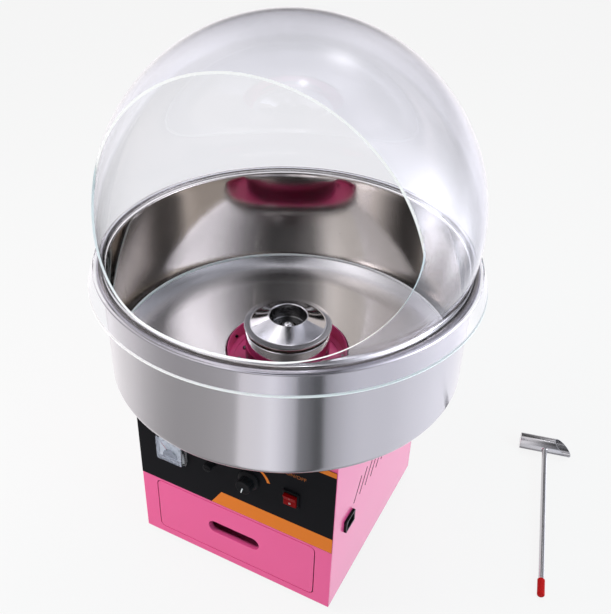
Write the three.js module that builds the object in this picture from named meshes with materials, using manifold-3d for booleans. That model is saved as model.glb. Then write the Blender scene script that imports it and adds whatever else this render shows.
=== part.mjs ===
// Candy floss machine: a square cabinet with a drawer, a spun bowl, a spinning sugar head and a
// clear half-open dome, with its sugar scoop lying beside it. Millimetres, +Z up, front towards -Y.
// The origin is on the spinner's axis, on the surface that the feet stand on.
import * as THREE from 'three';
import { mergeVertices } from 'three/addons/utils/BufferGeometryUtils.js';
import Module from 'manifold-3d';

const wasm = await Module();
wasm.setup();

// General
const SEAM = 0.3; // clearance between pieces that touch
const SHEET = 1.5; // cabinet sheet thickness
const ROUND_LARGE = 48; // facets round the bowl and the dome
const ROUND_MEDIUM = 36; // facets round the head, the turret and their fittings
const ROUND_INNER = 24; // facets round the motor and what it carries
const ROUND_SMALL = 20; // facets round knobs, posts and feet
const DEG = Math.PI / 180;

// Cabinet
const FOOT = { height: 8, radius: 14, taper: 1.5, inset: 32, stemRadius: 2.7, stemRise: 4 };
const CABINET = { width: 332, depth: 332, height: 300 };
const BASE_FLANGE = 12;
const TOP_FLANGE = 12;
const TOP_OPENING_RADIUS = 52;
const SHELF = { drop: 176, sheet: 1.5, flange: 6 };
const FLOOR_Z = FOOT.height;
const ROOF_Z = FLOOR_Z + CABINET.height;
const FRONT_Y = -CABINET.depth / 2;
const SIDE_X = CABINET.width / 2;
const INNER_X = SIDE_X - SHEET - SEAM;
const INNER_Y = CABINET.depth / 2 - SHEET - SEAM;
const SHELF_Z = ROOF_Z - SHELF.drop;

// Slanted vents in the side panels
const VENT = { width: 2.2, height: 37, lean: 23, pitch: 20.4, count: 9, frontGap: 69, rise: 36 };

// Drawer and its bay; the drawer fills the height under the shelf
const DRAWER = {
  width: 276, topGap: 6.3, rise: 14.3, corner: 8, gap: 1.5, plate: 1.5,
  trayWidth: 266, trayDepth: 290, trayDrop: 31.5, trayWall: 1.2, lipDrop: 8.3, trayLift: 1.9,
};
const FINGER_SLOT = { width: 90, height: 24, lift: 0.5 };
const DRAWER_Z = FLOOR_Z + DRAWER.rise;
const DRAWER_HEIGHT = SHELF_Z - DRAWER.topGap - DRAWER_Z;
const SLOT_RISE = DRAWER_HEIGHT / 2 + FINGER_SLOT.lift;
const TRAY_HEIGHT = DRAWER_HEIGHT - DRAWER.trayLift - DRAWER.trayDrop;
const LIP_HEIGHT = SLOT_RISE - FINGER_SLOT.height / 2 - DRAWER.trayLift - DRAWER.lipDrop;
const RUNNER = { overlap: 2.8, rise: 20, sheet: 1.5 };
const RUNNER_REACH = INNER_X - DRAWER.trayWidth / 2 + RUNNER.overlap;

// Control panel: heights of the controls are taken from the lower edge of its printed overlay
const OVERLAY = { sheet: 0.6, lift: 0.5, topGap: 14, edge: 0.4 };
const OVERLAY_Z = SHELF_Z + OVERLAY.lift;
const PANEL_Y = FRONT_Y - SEAM - OVERLAY.sheet;
const SEAT_Y = PANEL_Y - SEAM;
const METER = {
  x: -103, rise: 81.5, flange: 52, flangeDepth: 3, window: 46, windowDepth: 10, glass: 1.5,
  caseRadius: 20, caseDepth: 30, caseProud: 1.4, dial: 0.8, pivotDrop: 13, needleLength: 25,
  needleWidth: 1.2, needleThick: 0.8, hubRadius: 2.4, restAngle: 45, corner: 3,
};
const FUSE = {
  x: -35, rise: 81.5, flangeRadius: 8, flangeDepth: 2, barrelRadius: 5.8, barrelDepth: 32, boreRadius: 4,
  capRadius: 7, capDepth: 10, stemRadius: 3.6, stemDepth: 6, linkRadius: 2.6, linkLength: 20,
};
const KNOB = {
  x: 29.5, rise: 80.5, skirtRadius: 17, skirtDepth: 4, gripRadius: 12.5, gripDepth: 14, shaftRadius: 3,
  shaftDepth: 16, notch: 1.6, bodyRadius: 14, bodyDepth: 20,
};
const ROCKER = {
  x: 98.5, rise: 79.5, width: 26, height: 28, depth: 3, wall: 2.6, endWall: 2.8, pocket: 10, bodyDepth: 22,
  bodyShrink: 2, buttonEnd: 3.8, buttonDip: 1.8, buttonBack: 6, pivotDepth: 3, tilt: 10, playSide: 0.4,
  playEnd: 0.9, corner: 2,
};
const METER_Z = OVERLAY_Z + METER.rise;
const FUSE_Z = OVERLAY_Z + FUSE.rise;
const KNOB_Z = OVERLAY_Z + KNOB.rise;
const ROCKER_Z = OVERLAY_Z + ROCKER.rise;
const INLET = {
  frontGap: 53, rise: 17, width: 31, height: 23, flange: 4, shrink: 1.8, bodyDepth: 22, pocketWall: 3.5,
  pocketDepth: 16, chamfer: 5, pinWidth: 2, pinHeight: 4, pinLength: 9, pinSpacing: 7, pinRise: 3,
};

const INLET_Y = FRONT_Y + INLET.frontGap;
const INLET_Z = SHELF_Z + INLET.rise;

// Turret, seat and bowl
const TURRET = { radius: 91.5, wall: 1.5, height: 22.7, footInner: 82, holeRadius: 2.5, holeRise: 5 };
const SEAT = { inner: 96, outer: 112, height: 4.4 };
const BOWL = {
  radius: 260, sheet: 1.5, height: 187, beadRadius: 3.5, shoulderRun: 55, shoulderRise: 22,
  holeGap: 2, lipRise: 9, arcSteps: 6, beadSteps: 8,
};
const BOWL_Z = ROOF_Z + SEAM + SEAT.height + SEAM;
const RIM_Z = BOWL_Z + BOWL.height;

// Dome: its flange rests on the bowl's bead and its skirt hangs outside it
const DOME = {
  overhang: 4, wall: 3, centreRise: 66, flangeSheet: 3, flangeReach: 7, skirtPlay: 5, skirtDrop: 30,
  skirtSpread: 9, cutDepth: 128, cutLowRise: 2, cornerX: 87, cornerRun: 133, cornerRise: 99, turn: 3.9,
  arcSteps: 11, cornerSteps: 8,
};
const DOME_RADIUS = BOWL.radius + DOME.overhang;
const DOME_Z = RIM_Z + DOME.centreRise;

// Spinner head
const SHAFT = { radius: 5, tail: 5, thread: 10 };
const HEAD = {
  radius: 64, sheet: 1.5, bend: 3, lift: 32, panHeight: 26, hubRadius: 12, hubDrop: 9, hubRise: 16,
  meshRadius: 62, meshHeight: 6.4, meshWall: 2, flangeRadius: 66, flangeThick: 3, coneInset: 10,
  coneRise: 14.5, mouthRadius: 30, rimRadius: 1.6, capSheet: 1.6,
};
const PAN_Z = ROOF_Z + HEAD.lift;
const PAN_TOP = PAN_Z + HEAD.panHeight;
const HUB_TOP = PAN_Z + HEAD.hubRise;
const SHAFT_TOP = HUB_TOP + SHAFT.thread;
const HEATER = { inner: 48, outer: 58, height: 9 };
const NUT = { radius: 11.5, height: 20, cover: 10 };

// Motor and slip rings
const MOTOR_PLATE = { size: 170, sheet: 3, drop: 43, holeRadius: 26 };
const MOTOR_PLATE_TOP = ROOF_Z - MOTOR_PLATE.drop;
const POST = { radius: 7, circle: 74, count: 3 };
const MOTOR = {
  radius: 46, wall: 2, length: 88, bearingRadius: 11, bearingHeight: 8, bossWall: 3, bell: 3,
  statorInner: 32, statorLength: 50, rotorRadius: 31, rotorLength: 56,
};
const FAN = { radius: 46, disc: 2, hubRadius: 9, bladeHeight: 15, bladeThick: 1.5, bladeInner: 16, count: 8 };
const CAN_TOP = MOTOR_PLATE_TOP - MOTOR_PLATE.sheet - SEAM;
const CAN_LOW = CAN_TOP - MOTOR.length;
const BELL_LOW = CAN_LOW - SEAM - MOTOR.bell;
const FAN_Z = BELL_LOW - 2 * SEAM - FAN.disc - FAN.bladeHeight;
const RING_HUB = { radius: 20, lift: 7, height: 32 };
const RING_HUB_Z = MOTOR_PLATE_TOP + RING_HUB.lift;
const RING = { radius: 24, height: 8, firstRise: 4, pitch: 14 };
const BRUSH = { size: 6, length: 20, holderInset: 7, holderDepth: 24, holderWidth: 20, holderHeight: 34 };

// Electrics on the shelf
const BOARD = {
  sideGap: 12, backGap: 35, width: 80, depth: 90, sheet: 1.6, legHeight: 8, legRadius: 3, legInset: 6,
};
const SINK = { width: 40, depth: 18, height: 30, x: -8, y: 24 };
const CHOKE = { inner: 5, outer: 12, height: 12, x: 18, y: -22 };
const TERMINALS = { sideGap: 22, backGap: 62, width: 60, depth: 20, height: 18, slots: 5, wall: 2 };

// Scoop lying beside the machine
const SCOOP = {
  tipX: 447, tipY: 11, turn: 12.8, tubeRadius: 14.7, tubeWall: 1.2, backLength: 45, frontTop: 16,
  frontLow: 50, handleLength: 332, rodRadius: 4.5, tipRadius: 6, tipLength: 30, tipEnd: 3,
};

// Solids are joined and cut here; the meshes come back with merged corners.
function solid(geometry) {
  const bare = geometry.index ? geometry.toNonIndexed() : geometry.clone();
  bare.deleteAttribute('normal');
  bare.deleteAttribute('uv');
  const merged = mergeVertices(bare, 1e-4);
  const mesh = new wasm.Mesh({
    numProp: 3,
    vertProperties: new Float32Array(merged.attributes.position.array),
    triVerts: new Uint32Array(merged.index.array),
  });
  return new wasm.Manifold(mesh);
}

function geometryOf(body) {
  const mesh = body.getMesh();
  const geometry = new THREE.BufferGeometry();
  geometry.setAttribute('position', new THREE.BufferAttribute(new Float32Array(mesh.vertProperties), 3));
  geometry.setIndex(new THREE.BufferAttribute(new Uint32Array(mesh.triVerts), 1));
  return geometry;
}

function joined(first, ...others) {
  return geometryOf(others.reduce((sum, geometry) => sum.add(solid(geometry)), solid(first)));
}

function cut(first, ...others) {
  return geometryOf(others.reduce((rest, geometry) => rest.subtract(solid(geometry)), solid(first)));
}

// Shapes. A front shape is drawn in X and Z and grows towards -Y; a side shape is drawn in Y and Z
// and grows towards +X; a flat shape is drawn in X and Y and grows upwards.
const AXIS_X = new THREE.Vector3(1, 0, 0);
const AXIS_Y = new THREE.Vector3(0, 1, 0);
const AXIS_Z = new THREE.Vector3(0, 0, 1);
const FACING_FRONT = new THREE.Matrix4().makeBasis(AXIS_X, AXIS_Z, AXIS_Y.clone().negate());
const FACING_SIDE = new THREE.Matrix4().makeBasis(AXIS_Y, AXIS_Z, AXIS_X);

function extruded(shape, depth, curveSegments = 6) {
  return new THREE.ExtrudeGeometry(shape, { depth, bevelEnabled: false, curveSegments });
}

function frontPlate(shape, depth, curveSegments) {
  return extruded(shape, depth, curveSegments).applyMatrix4(FACING_FRONT);
}

function sidePlate(shape, depth, curveSegments) {
  return extruded(shape, depth, curveSegments).applyMatrix4(FACING_SIDE);
}

function block(width, depth, height) {
  return new THREE.BoxGeometry(width, depth, height);
}

function turned(points, facets) {
  const profile = points.map(([radius, height]) => new THREE.Vector2(radius, height));
  return new THREE.LatheGeometry(profile, facets).rotateX(Math.PI / 2);
}

// A turned piece whose axis runs to the front: heights of the profile grow towards -Y.
function turnedToFront(points, facets) {
  return turned(points, facets).applyMatrix4(FACING_FRONT);
}

function ringProfile(inner, outer, low, high) {
  return [[inner, low], [outer, low], [outer, high], [inner, high], [inner, low]];
}

function discProfile(radius, low, high) {
  return [[0, low], [radius, low], [radius, high], [0, high]];
}

function arcPoints(cx, cy, rx, ry, from, to, steps) {
  const points = [];
  for (let i = 0; i <= steps; i += 1) {
    const angle = (from + ((to - from) * i) / steps) * DEG;
    points.push([cx + rx * Math.cos(angle), cy + ry * Math.sin(angle)]);
  }
  return points;
}

function rectangle(width, height, corner = 0, cx = 0, cy = 0) {
  const x = width / 2;
  const y = height / 2;
  const shape = new THREE.Shape();
  if (corner === 0) {
    shape.moveTo(cx - x, cy - y);
    shape.lineTo(cx + x, cy - y);
    shape.lineTo(cx + x, cy + y);
    shape.lineTo(cx - x, cy + y);
    shape.closePath();
    return shape;
  }
  shape.moveTo(cx - x + corner, cy - y);
  shape.lineTo(cx + x - corner, cy - y);
  shape.absarc(cx + x - corner, cy - y + corner, corner, -Math.PI / 2, 0);
  shape.lineTo(cx + x, cy + y - corner);
  shape.absarc(cx + x - corner, cy + y - corner, corner, 0, Math.PI / 2);
  shape.lineTo(cx - x + corner, cy + y);
  shape.absarc(cx - x + corner, cy + y - corner, corner, Math.PI / 2, Math.PI);
  shape.lineTo(cx - x, cy - y + corner);
  shape.absarc(cx - x + corner, cy - y + corner, corner, Math.PI, 1.5 * Math.PI);
  shape.closePath();
  return shape;
}

function polygon(points) {
  return new THREE.Shape(points.map(([x, y]) => new THREE.Vector2(x, y)));
}

// A round hole whose flats, too, keep the whole radius free.
function hole(radius, cx = 0, cy = 0, facets = ROUND_SMALL) {
  const reach = radius / Math.cos(Math.PI / facets);
  return polygon(arcPoints(cx, cy, reach, reach, 0, 360 - 360 / facets, facets - 1));
}

// Materials
const FINISHES = {
  pink_paint: [0xe8609c, 0.35, 0.0],
  black_print: [0x1b1b1d, 0.4, 0.0],
  satin_steel: [0xb9b7b8, 0.28, 1.0],
  polished_steel: [0xcfcfd2, 0.12, 1.0],
  zinc_steel: [0x9a9da0, 0.45, 1.0],
  clear_plastic: [0xe6e8f0, 0.05, 0.0],
  black_plastic: [0x111113, 0.4, 0.0],
  red_plastic: [0xa01014, 0.25, 0.0],
  red_rubber: [0xc01a1c, 0.5, 0.0],
  black_rubber: [0x202022, 0.8, 0.0],
  dial_white: [0xe4e6ea, 0.5, 0.0],
  brass: [0xc09a4c, 0.3, 1.0],
  motor_iron: [0x6a6c70, 0.5, 1.0],
  heater_alloy: [0x6f6660, 0.5, 1.0],
  carbon: [0x2c2c2e, 0.7, 0.0],
  board_green: [0x1f5a3a, 0.5, 0.0],
};

function part(name, finish, geometry) {
  const [color, roughness, metalness] = FINISHES[finish];
  const material = new THREE.MeshStandardMaterial({ color, roughness, metalness });
  if (finish === 'clear_plastic') {
    material.transparent = true;
    material.opacity = 0.3;
  }
  const mesh = new THREE.Mesh(geometry, material);
  mesh.name = name;
  return mesh;
}

function at(mesh, x, y, z) {
  mesh.position.set(x, y, z);
  return mesh;
}

// Cabinet sheets
function pan(width, depth, sheet, flange, holes) {
  const plate = rectangle(width, depth);
  plate.holes.push(...holes);
  const rim = rectangle(width, depth);
  rim.holes.push(rectangle(width - 2 * sheet, depth - 2 * sheet));
  return joined(extruded(plate, sheet), extruded(rim, flange));
}

function footPlaces() {
  const x = SIDE_X - FOOT.inset;
  const y = CABINET.depth / 2 - FOOT.inset;
  return [
    ['foot_front_left', -x, -y],
    ['foot_front_right', x, -y],
    ['foot_back_left', -x, y],
    ['foot_back_right', x, y],
  ];
}

function feet() {
  const top = FOOT.height - SEAM;
  const stemTop = FOOT.height + SHEET + FOOT.stemRise;
  const profile = [
    [0, 0],
    [FOOT.radius - FOOT.taper, 0],
    [FOOT.radius, top],
    [FOOT.stemRadius, top],
    [FOOT.stemRadius, stemTop],
    [0, stemTop],
  ];
  return footPlaces().map(([name, x, y]) => (
    at(part(name, 'black_rubber', turned(profile, ROUND_SMALL)), x, y, 0)
  ));
}

function basePlate() {
  const holes = footPlaces().map(([, x, y]) => hole(FOOT.stemRadius + SEAM, x, y));
  const geometry = pan(2 * INNER_X, 2 * INNER_Y, SHEET, BASE_FLANGE, holes);
  return at(part('base_plate', 'zinc_steel', geometry), 0, 0, FLOOR_Z);
}

function topPlate() {
  const roof = rectangle(CABINET.width, CABINET.depth, SHEET);
  roof.holes.push(hole(TOP_OPENING_RADIUS, 0, 0, ROUND_MEDIUM));
  const rim = rectangle(2 * INNER_X, 2 * INNER_Y);
  rim.holes.push(rectangle(2 * (INNER_X - SHEET), 2 * (INNER_Y - SHEET)));
  const down = extruded(rim, TOP_FLANGE).translate(0, 0, -TOP_FLANGE);
  const geometry = joined(extruded(roof, SHEET), down);
  return at(part('top_plate', 'pink_paint', geometry), 0, 0, ROOF_Z - SHEET);
}

const WALL_HEIGHT = CABINET.height - SHEET - SEAM;

function frontPanel() {
  const wall = rectangle(CABINET.width, WALL_HEIGHT, 0, 0, FLOOR_Z + WALL_HEIGHT / 2);
  const drawerZ = DRAWER_Z + DRAWER_HEIGHT / 2;
  const bayWidth = DRAWER.width + 2 * DRAWER.gap;
  const bayHeight = DRAWER_HEIGHT + 2 * DRAWER.gap;
  wall.holes.push(
    rectangle(bayWidth, bayHeight, DRAWER.corner + DRAWER.gap, 0, drawerZ),
    ...controlHoles(),
  );
  return at(part('front_panel', 'pink_paint', frontPlate(wall, SHEET)), 0, FRONT_Y + SHEET, 0);
}

function controlHoles() {
  const rockerWidth = ROCKER.width - ROCKER.bodyShrink + 2 * SEAM;
  const rockerHeight = ROCKER.height - ROCKER.bodyShrink + 2 * SEAM;
  return [
    hole(METER.caseRadius + SEAM, METER.x, METER_Z, ROUND_MEDIUM),
    hole(FUSE.barrelRadius + SEAM, FUSE.x, FUSE_Z),
    hole(KNOB.shaftRadius + SEAM, KNOB.x, KNOB_Z),
    rectangle(rockerWidth, rockerHeight, 0, ROCKER.x, ROCKER_Z),
  ];
}

function controlOverlay() {
  const width = CABINET.width - 2 * OVERLAY.edge;
  const height = ROOF_Z - OVERLAY.topGap - OVERLAY_Z;
  const film = rectangle(width, height, 0, 0, OVERLAY_Z + height / 2);
  film.holes.push(...controlHoles());
  return at(part('control_overlay', 'black_print', frontPlate(film, OVERLAY.sheet)), 0, FRONT_Y - SEAM, 0);
}

function backPanel() {
  const wall = rectangle(CABINET.width, WALL_HEIGHT, 0, 0, FLOOR_Z + WALL_HEIGHT / 2);
  return at(part('back_panel', 'pink_paint', frontPlate(wall, SHEET)), 0, CABINET.depth / 2, 0);
}

function ventSlits() {
  const length = Math.hypot(VENT.height, VENT.lean);
  const acrossY = (VENT.height / length) * VENT.width;
  const acrossZ = (VENT.lean / length) * VENT.width;
  const z = SHELF_Z + VENT.rise;
  const slits = [];
  for (let i = 0; i < VENT.count; i += 1) {
    const y = FRONT_Y + VENT.frontGap + i * VENT.pitch;
    slits.push(polygon([
      [y, z],
      [y + acrossY, z - acrossZ],
      [y + acrossY + VENT.lean, z - acrossZ + VENT.height],
      [y + VENT.lean, z + VENT.height],
    ]));
  }
  return slits;
}

function sidePanel(name, x, holes) {
  const wall = rectangle(2 * INNER_Y, WALL_HEIGHT, 0, 0, FLOOR_Z + WALL_HEIGHT / 2);
  wall.holes.push(...ventSlits(), ...holes);
  return at(part(name, 'pink_paint', sidePlate(wall, SHEET)), x, 0, 0);
}

function sidePanels() {
  const width = INLET.width - 2 * INLET.shrink + 2 * SEAM;
  const height = INLET.height - 2 * INLET.shrink + 2 * SEAM;
  return [
    sidePanel('left_panel', -SIDE_X, []),
    sidePanel('right_panel', SIDE_X - SHEET, [rectangle(width, height, 0, INLET_Y, INLET_Z)]),
  ];
}

// Drawer bay
function drawerShelf() {
  const plate = block(2 * INNER_X, 2 * INNER_Y, SHELF.sheet).translate(0, 0, SHELF.sheet / 2);
  const flange = block(SHELF.sheet, 2 * INNER_Y, SHELF.flange).translate(0, 0, SHELF.flange / 2);
  const reach = INNER_X - SHELF.sheet / 2;
  const geometry = joined(plate, flange.clone().translate(-reach, 0, 0), flange.clone().translate(reach, 0, 0));
  return at(part('drawer_shelf', 'zinc_steel', geometry), 0, 0, SHELF_Z);
}

function trayBottom() {
  return DRAWER_Z + DRAWER.trayLift;
}

function runners() {
  const top = trayBottom() - SEAM;
  return [['runner_left', -1], ['runner_right', 1]].map(([name, side]) => {
    const outline = polygon([
      [0, -RUNNER.sheet],
      [0, RUNNER.rise],
      [-RUNNER.sheet, RUNNER.rise],
      [-RUNNER.sheet, 0],
      [-RUNNER_REACH, 0],
      [-RUNNER_REACH, -RUNNER.sheet],
    ].map(([x, z]) => [side * x, z]));
    const geometry = frontPlate(outline, 2 * (INNER_Y - SHEET - SEAM));
    return at(part(name, 'zinc_steel', geometry), side * INNER_X, INNER_Y - SHEET - SEAM, top);
  });
}

function drawerFront() {
  const plate = rectangle(DRAWER.width, DRAWER_HEIGHT, DRAWER.corner, 0, DRAWER_HEIGHT / 2);
  const round = FINGER_SLOT.height / 2;
  plate.holes.push(rectangle(FINGER_SLOT.width, FINGER_SLOT.height, round, 0, SLOT_RISE));
  const geometry = frontPlate(plate, DRAWER.plate, 8);
  return at(part('drawer_front', 'pink_paint', geometry), 0, FRONT_Y + DRAWER.plate, DRAWER_Z);
}

function drawerTray() {
  const { trayWidth, trayDepth, trayWall } = DRAWER;
  const outer = block(trayWidth, trayDepth, TRAY_HEIGHT).translate(0, 0, TRAY_HEIGHT / 2);
  const inner = block(trayWidth - 2 * trayWall, trayDepth - 2 * trayWall, TRAY_HEIGHT);
  inner.translate(0, 0, TRAY_HEIGHT / 2 + trayWall);
  const front = block(trayWidth - 2 * trayWall, 4 * trayWall, TRAY_HEIGHT);
  front.translate(0, -trayDepth / 2, TRAY_HEIGHT / 2 + LIP_HEIGHT);
  const y = FRONT_Y + DRAWER.plate + SEAM + trayDepth / 2;
  return at(part('drawer_tray', 'zinc_steel', cut(outer, inner, front)), 0, y, trayBottom());
}

// Controls
function voltmeter() {
  const flange = frontPlate(rectangle(METER.flange, METER.flange, METER.corner), METER.flangeDepth, 3);
  const window = frontPlate(rectangle(METER.window, METER.window, METER.corner), METER.windowDepth, 3);
  const hollowSize = METER.window - 2 * METER.glass;
  const hollowDepth = METER.windowDepth - METER.glass;
  const hollow = frontPlate(rectangle(hollowSize, hollowSize), hollowDepth + SEAM).translate(0, SEAM, 0);
  const glass = part('voltmeter_window', 'clear_plastic', cut(joined(flange, window), hollow));
  const body = turnedToFront(discProfile(METER.caseRadius, 0, METER.caseDepth), ROUND_INNER);
  const caseY = SEAT_Y - METER.caseProud + METER.caseDepth;
  const dialSize = hollowSize - 2 * SEAM;
  const dial = frontPlate(rectangle(dialSize, dialSize), METER.dial);
  const dialY = SEAT_Y - METER.caseProud - SEAM;
  return [
    at(glass, METER.x, SEAT_Y, METER_Z),
    at(part('voltmeter_case', 'black_plastic', body), METER.x, caseY, METER_Z),
    at(part('voltmeter_dial', 'dial_white', dial), METER.x, dialY, METER_Z),
  ];
}

function voltmeterNeedle() {
  const hub = turnedToFront(discProfile(METER.hubRadius, 0, 2 * METER.needleThick), ROUND_SMALL);
  const blade = frontPlate(polygon([
    [-METER.needleWidth / 2, 0],
    [METER.needleWidth / 2, 0],
    [METER.needleWidth / 6, METER.needleLength],
    [-METER.needleWidth / 6, METER.needleLength],
  ]), METER.needleThick);
  const needle = part('voltmeter_needle', 'red_plastic', joined(hub, blade));
  const y = SEAT_Y - METER.caseProud - 2 * SEAM - METER.dial;
  needle.rotation.y = -METER.restAngle * DEG;
  return at(needle, METER.x, y, METER_Z - METER.pivotDrop);
}

function fuseHolder() {
  const back = FUSE.flangeDepth - FUSE.barrelDepth;
  const body = turnedToFront([
    [0, back],
    [FUSE.barrelRadius, back],
    [FUSE.barrelRadius, 0],
    [FUSE.flangeRadius, 0],
    [FUSE.flangeRadius, FUSE.flangeDepth],
    [FUSE.boreRadius, FUSE.flangeDepth],
    [FUSE.boreRadius, back + SHEET],
    [0, back + SHEET],
  ], ROUND_SMALL);
  return at(part('fuse_holder', 'black_plastic', body), FUSE.x, SEAT_Y, FUSE_Z);
}

function fuseCap() {
  const cap = turnedToFront([
    [0, -FUSE.stemDepth],
    [FUSE.stemRadius, -FUSE.stemDepth],
    [FUSE.stemRadius, 0],
    [FUSE.capRadius, 0],
    [FUSE.capRadius, FUSE.capDepth - 1],
    [FUSE.capRadius - 1, FUSE.capDepth],
    [0, FUSE.capDepth],
  ], ROUND_SMALL);
  const link = turnedToFront(discProfile(FUSE.linkRadius, 0, FUSE.linkLength), ROUND_SMALL);
  const capY = SEAT_Y - FUSE.flangeDepth - SEAM;
  const linkY = capY + FUSE.stemDepth + SEAM + FUSE.linkLength;
  return [
    at(part('fuse_cap', 'black_plastic', cap), FUSE.x, capY, FUSE_Z),
    at(part('fuse_link', 'clear_plastic', link), FUSE.x, linkY, FUSE_Z),
  ];
}

function heatRegulator() {
  const body = turnedToFront([
    [0, 0],
    [KNOB.bodyRadius, 0],
    [KNOB.bodyRadius, KNOB.bodyDepth],
    [KNOB.shaftRadius + SEAM, KNOB.bodyDepth],
    [KNOB.shaftRadius + SEAM, SHEET],
    [0, SHEET],
  ], ROUND_INNER);
  const y = FRONT_Y + SHEET + SEAM + KNOB.bodyDepth;
  return at(part('heat_regulator', 'zinc_steel', body), KNOB.x, y, KNOB_Z);
}

// At rest the pointer stands at the low end of the scale, down and to the left.
const KNOB_REST = 15;

function heatKnob() {
  const depth = KNOB.skirtDepth + KNOB.gripDepth;
  const knob = turnedToFront([
    [0, -KNOB.shaftDepth],
    [KNOB.shaftRadius, -KNOB.shaftDepth],
    [KNOB.shaftRadius, 0],
    [KNOB.skirtRadius, 0],
    [KNOB.skirtRadius - 1, KNOB.skirtDepth],
    [KNOB.gripRadius, KNOB.skirtDepth],
    [KNOB.gripRadius - 0.5, depth - 1],
    [KNOB.gripRadius - 1.5, depth],
    [0, depth],
  ], ROUND_INNER);
  const notch = block(KNOB.notch, KNOB.notch, KNOB.gripRadius + KNOB.notch);
  notch.translate(0, -depth, -(KNOB.gripRadius + KNOB.notch) / 2);
  const mesh = part('heat_knob', 'black_plastic', cut(knob, notch));
  mesh.rotation.y = KNOB_REST * DEG;
  return at(mesh, KNOB.x, SEAT_Y, KNOB_Z);
}

function rockerSwitch() {
  const frame = frontPlate(rectangle(ROCKER.width, ROCKER.height, ROCKER.corner), ROCKER.depth, 3);
  const bodyWidth = ROCKER.width - ROCKER.bodyShrink;
  const bodyHeight = ROCKER.height - ROCKER.bodyShrink;
  const body = block(bodyWidth, ROCKER.bodyDepth, bodyHeight).translate(0, ROCKER.bodyDepth / 2 - SEAM, 0);
  const pocketWidth = ROCKER.width - 2 * ROCKER.wall;
  const pocketHeight = ROCKER.height - 2 * ROCKER.endWall;
  const pocket = block(pocketWidth, ROCKER.pocket + ROCKER.depth, pocketHeight);
  pocket.translate(0, (ROCKER.pocket - ROCKER.depth) / 2 - SEAM, 0);
  const mesh = part('rocker_frame', 'black_plastic', cut(joined(frame, body), pocket));
  return at(mesh, ROCKER.x, SEAT_Y, ROCKER_Z);
}

function rockerButton() {
  const halfWidth = ROCKER.width / 2 - ROCKER.wall - ROCKER.playSide;
  const halfHeight = ROCKER.height / 2 - ROCKER.endWall - ROCKER.playEnd;
  const pivot = ROCKER.pivotDepth;
  const outline = polygon([
    [ROCKER.buttonEnd + pivot, -halfHeight],
    [ROCKER.buttonDip + pivot, 0],
    [ROCKER.buttonEnd + pivot, halfHeight],
    [pivot - ROCKER.buttonDip, halfHeight - 1.2],
    [pivot - ROCKER.buttonBack, halfHeight / 2],
    [pivot - ROCKER.buttonBack, -halfHeight / 2],
    [pivot - ROCKER.buttonDip, 1.2 - halfHeight],
  ].map(([out, z]) => [-out, z]));
  const geometry = sidePlate(outline, 2 * halfWidth).translate(-halfWidth, 0, 0);
  const mesh = part('rocker_button', 'red_plastic', geometry);
  mesh.rotation.x = ROCKER.tilt * DEG;
  return at(mesh, ROCKER.x, SEAT_Y - ROCKER.depth + ROCKER.pivotDepth, ROCKER_Z);
}

function inletSocket() {
  const flange = sidePlate(rectangle(INLET.width, INLET.height, 2), INLET.flange, 3);
  const bodyWidth = INLET.width - 2 * INLET.shrink;
  const bodyHeight = INLET.height - 2 * INLET.shrink;
  const body = block(INLET.bodyDepth, bodyWidth, bodyHeight).translate(-INLET.bodyDepth / 2 + SEAM, 0, 0);
  const y = INLET.width / 2 - INLET.pocketWall;
  const z = INLET.height / 2 - INLET.pocketWall;
  const mouth = polygon([
    [-y, -z],
    [y, -z],
    [y, z - INLET.chamfer],
    [y - INLET.chamfer, z],
    [INLET.chamfer - y, z],
    [-y, z - INLET.chamfer],
  ]);
  const pocket = sidePlate(mouth, INLET.pocketDepth + SEAM);
  pocket.translate(INLET.flange - INLET.pocketDepth, 0, 0);
  const rootX = INLET.flange - INLET.pocketDepth - SHEET;
  const pinLength = INLET.pinLength + SHEET;
  const pins = [[-1, -1], [0, 1], [1, -1]].map(([across, up]) => (
    block(pinLength, INLET.pinWidth, INLET.pinHeight).translate(
      rootX + pinLength / 2,
      across * INLET.pinSpacing,
      up * INLET.pinRise,
    )
  ));
  const shell = cut(joined(flange, body), pocket);
  return at(part('inlet_socket', 'black_plastic', joined(shell, ...pins)), SIDE_X + SEAM, INLET_Y, INLET_Z);
}

// Turret that the bowl drops over, and the rubber seat under the bowl
function turret() {
  const inner = TURRET.radius - TURRET.wall;
  const ring = turned([
    [TURRET.footInner, 0],
    [TURRET.radius, 0],
    [TURRET.radius, TURRET.height],
    [inner, TURRET.height],
    [inner, TURRET.wall],
    [TURRET.footInner, TURRET.wall],
    [TURRET.footInner, 0],
  ], ROUND_MEDIUM);
  const drills = [AXIS_X, AXIS_Y].map((axis) => {
    const drill = new THREE.CylinderGeometry(TURRET.holeRadius, TURRET.holeRadius, 3 * TURRET.radius, 10);
    drill.applyQuaternion(new THREE.Quaternion().setFromUnitVectors(AXIS_Y, axis));
    return drill.translate(0, 0, TURRET.holeRise);
  });
  return at(part('turret_ring', 'pink_paint', cut(ring, ...drills)), 0, 0, ROOF_Z + SEAM);
}

function bowlSeat() {
  const ring = turned(ringProfile(SEAT.inner, SEAT.outer, 0, SEAT.height), ROUND_INNER);
  return at(part('bowl_seat', 'black_rubber', ring), 0, 0, ROOF_Z + SEAM);
}

// The bead is rolled outwards this far round, above and below, before it meets the wall.
const BEAD_ROLL = 155;

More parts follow.
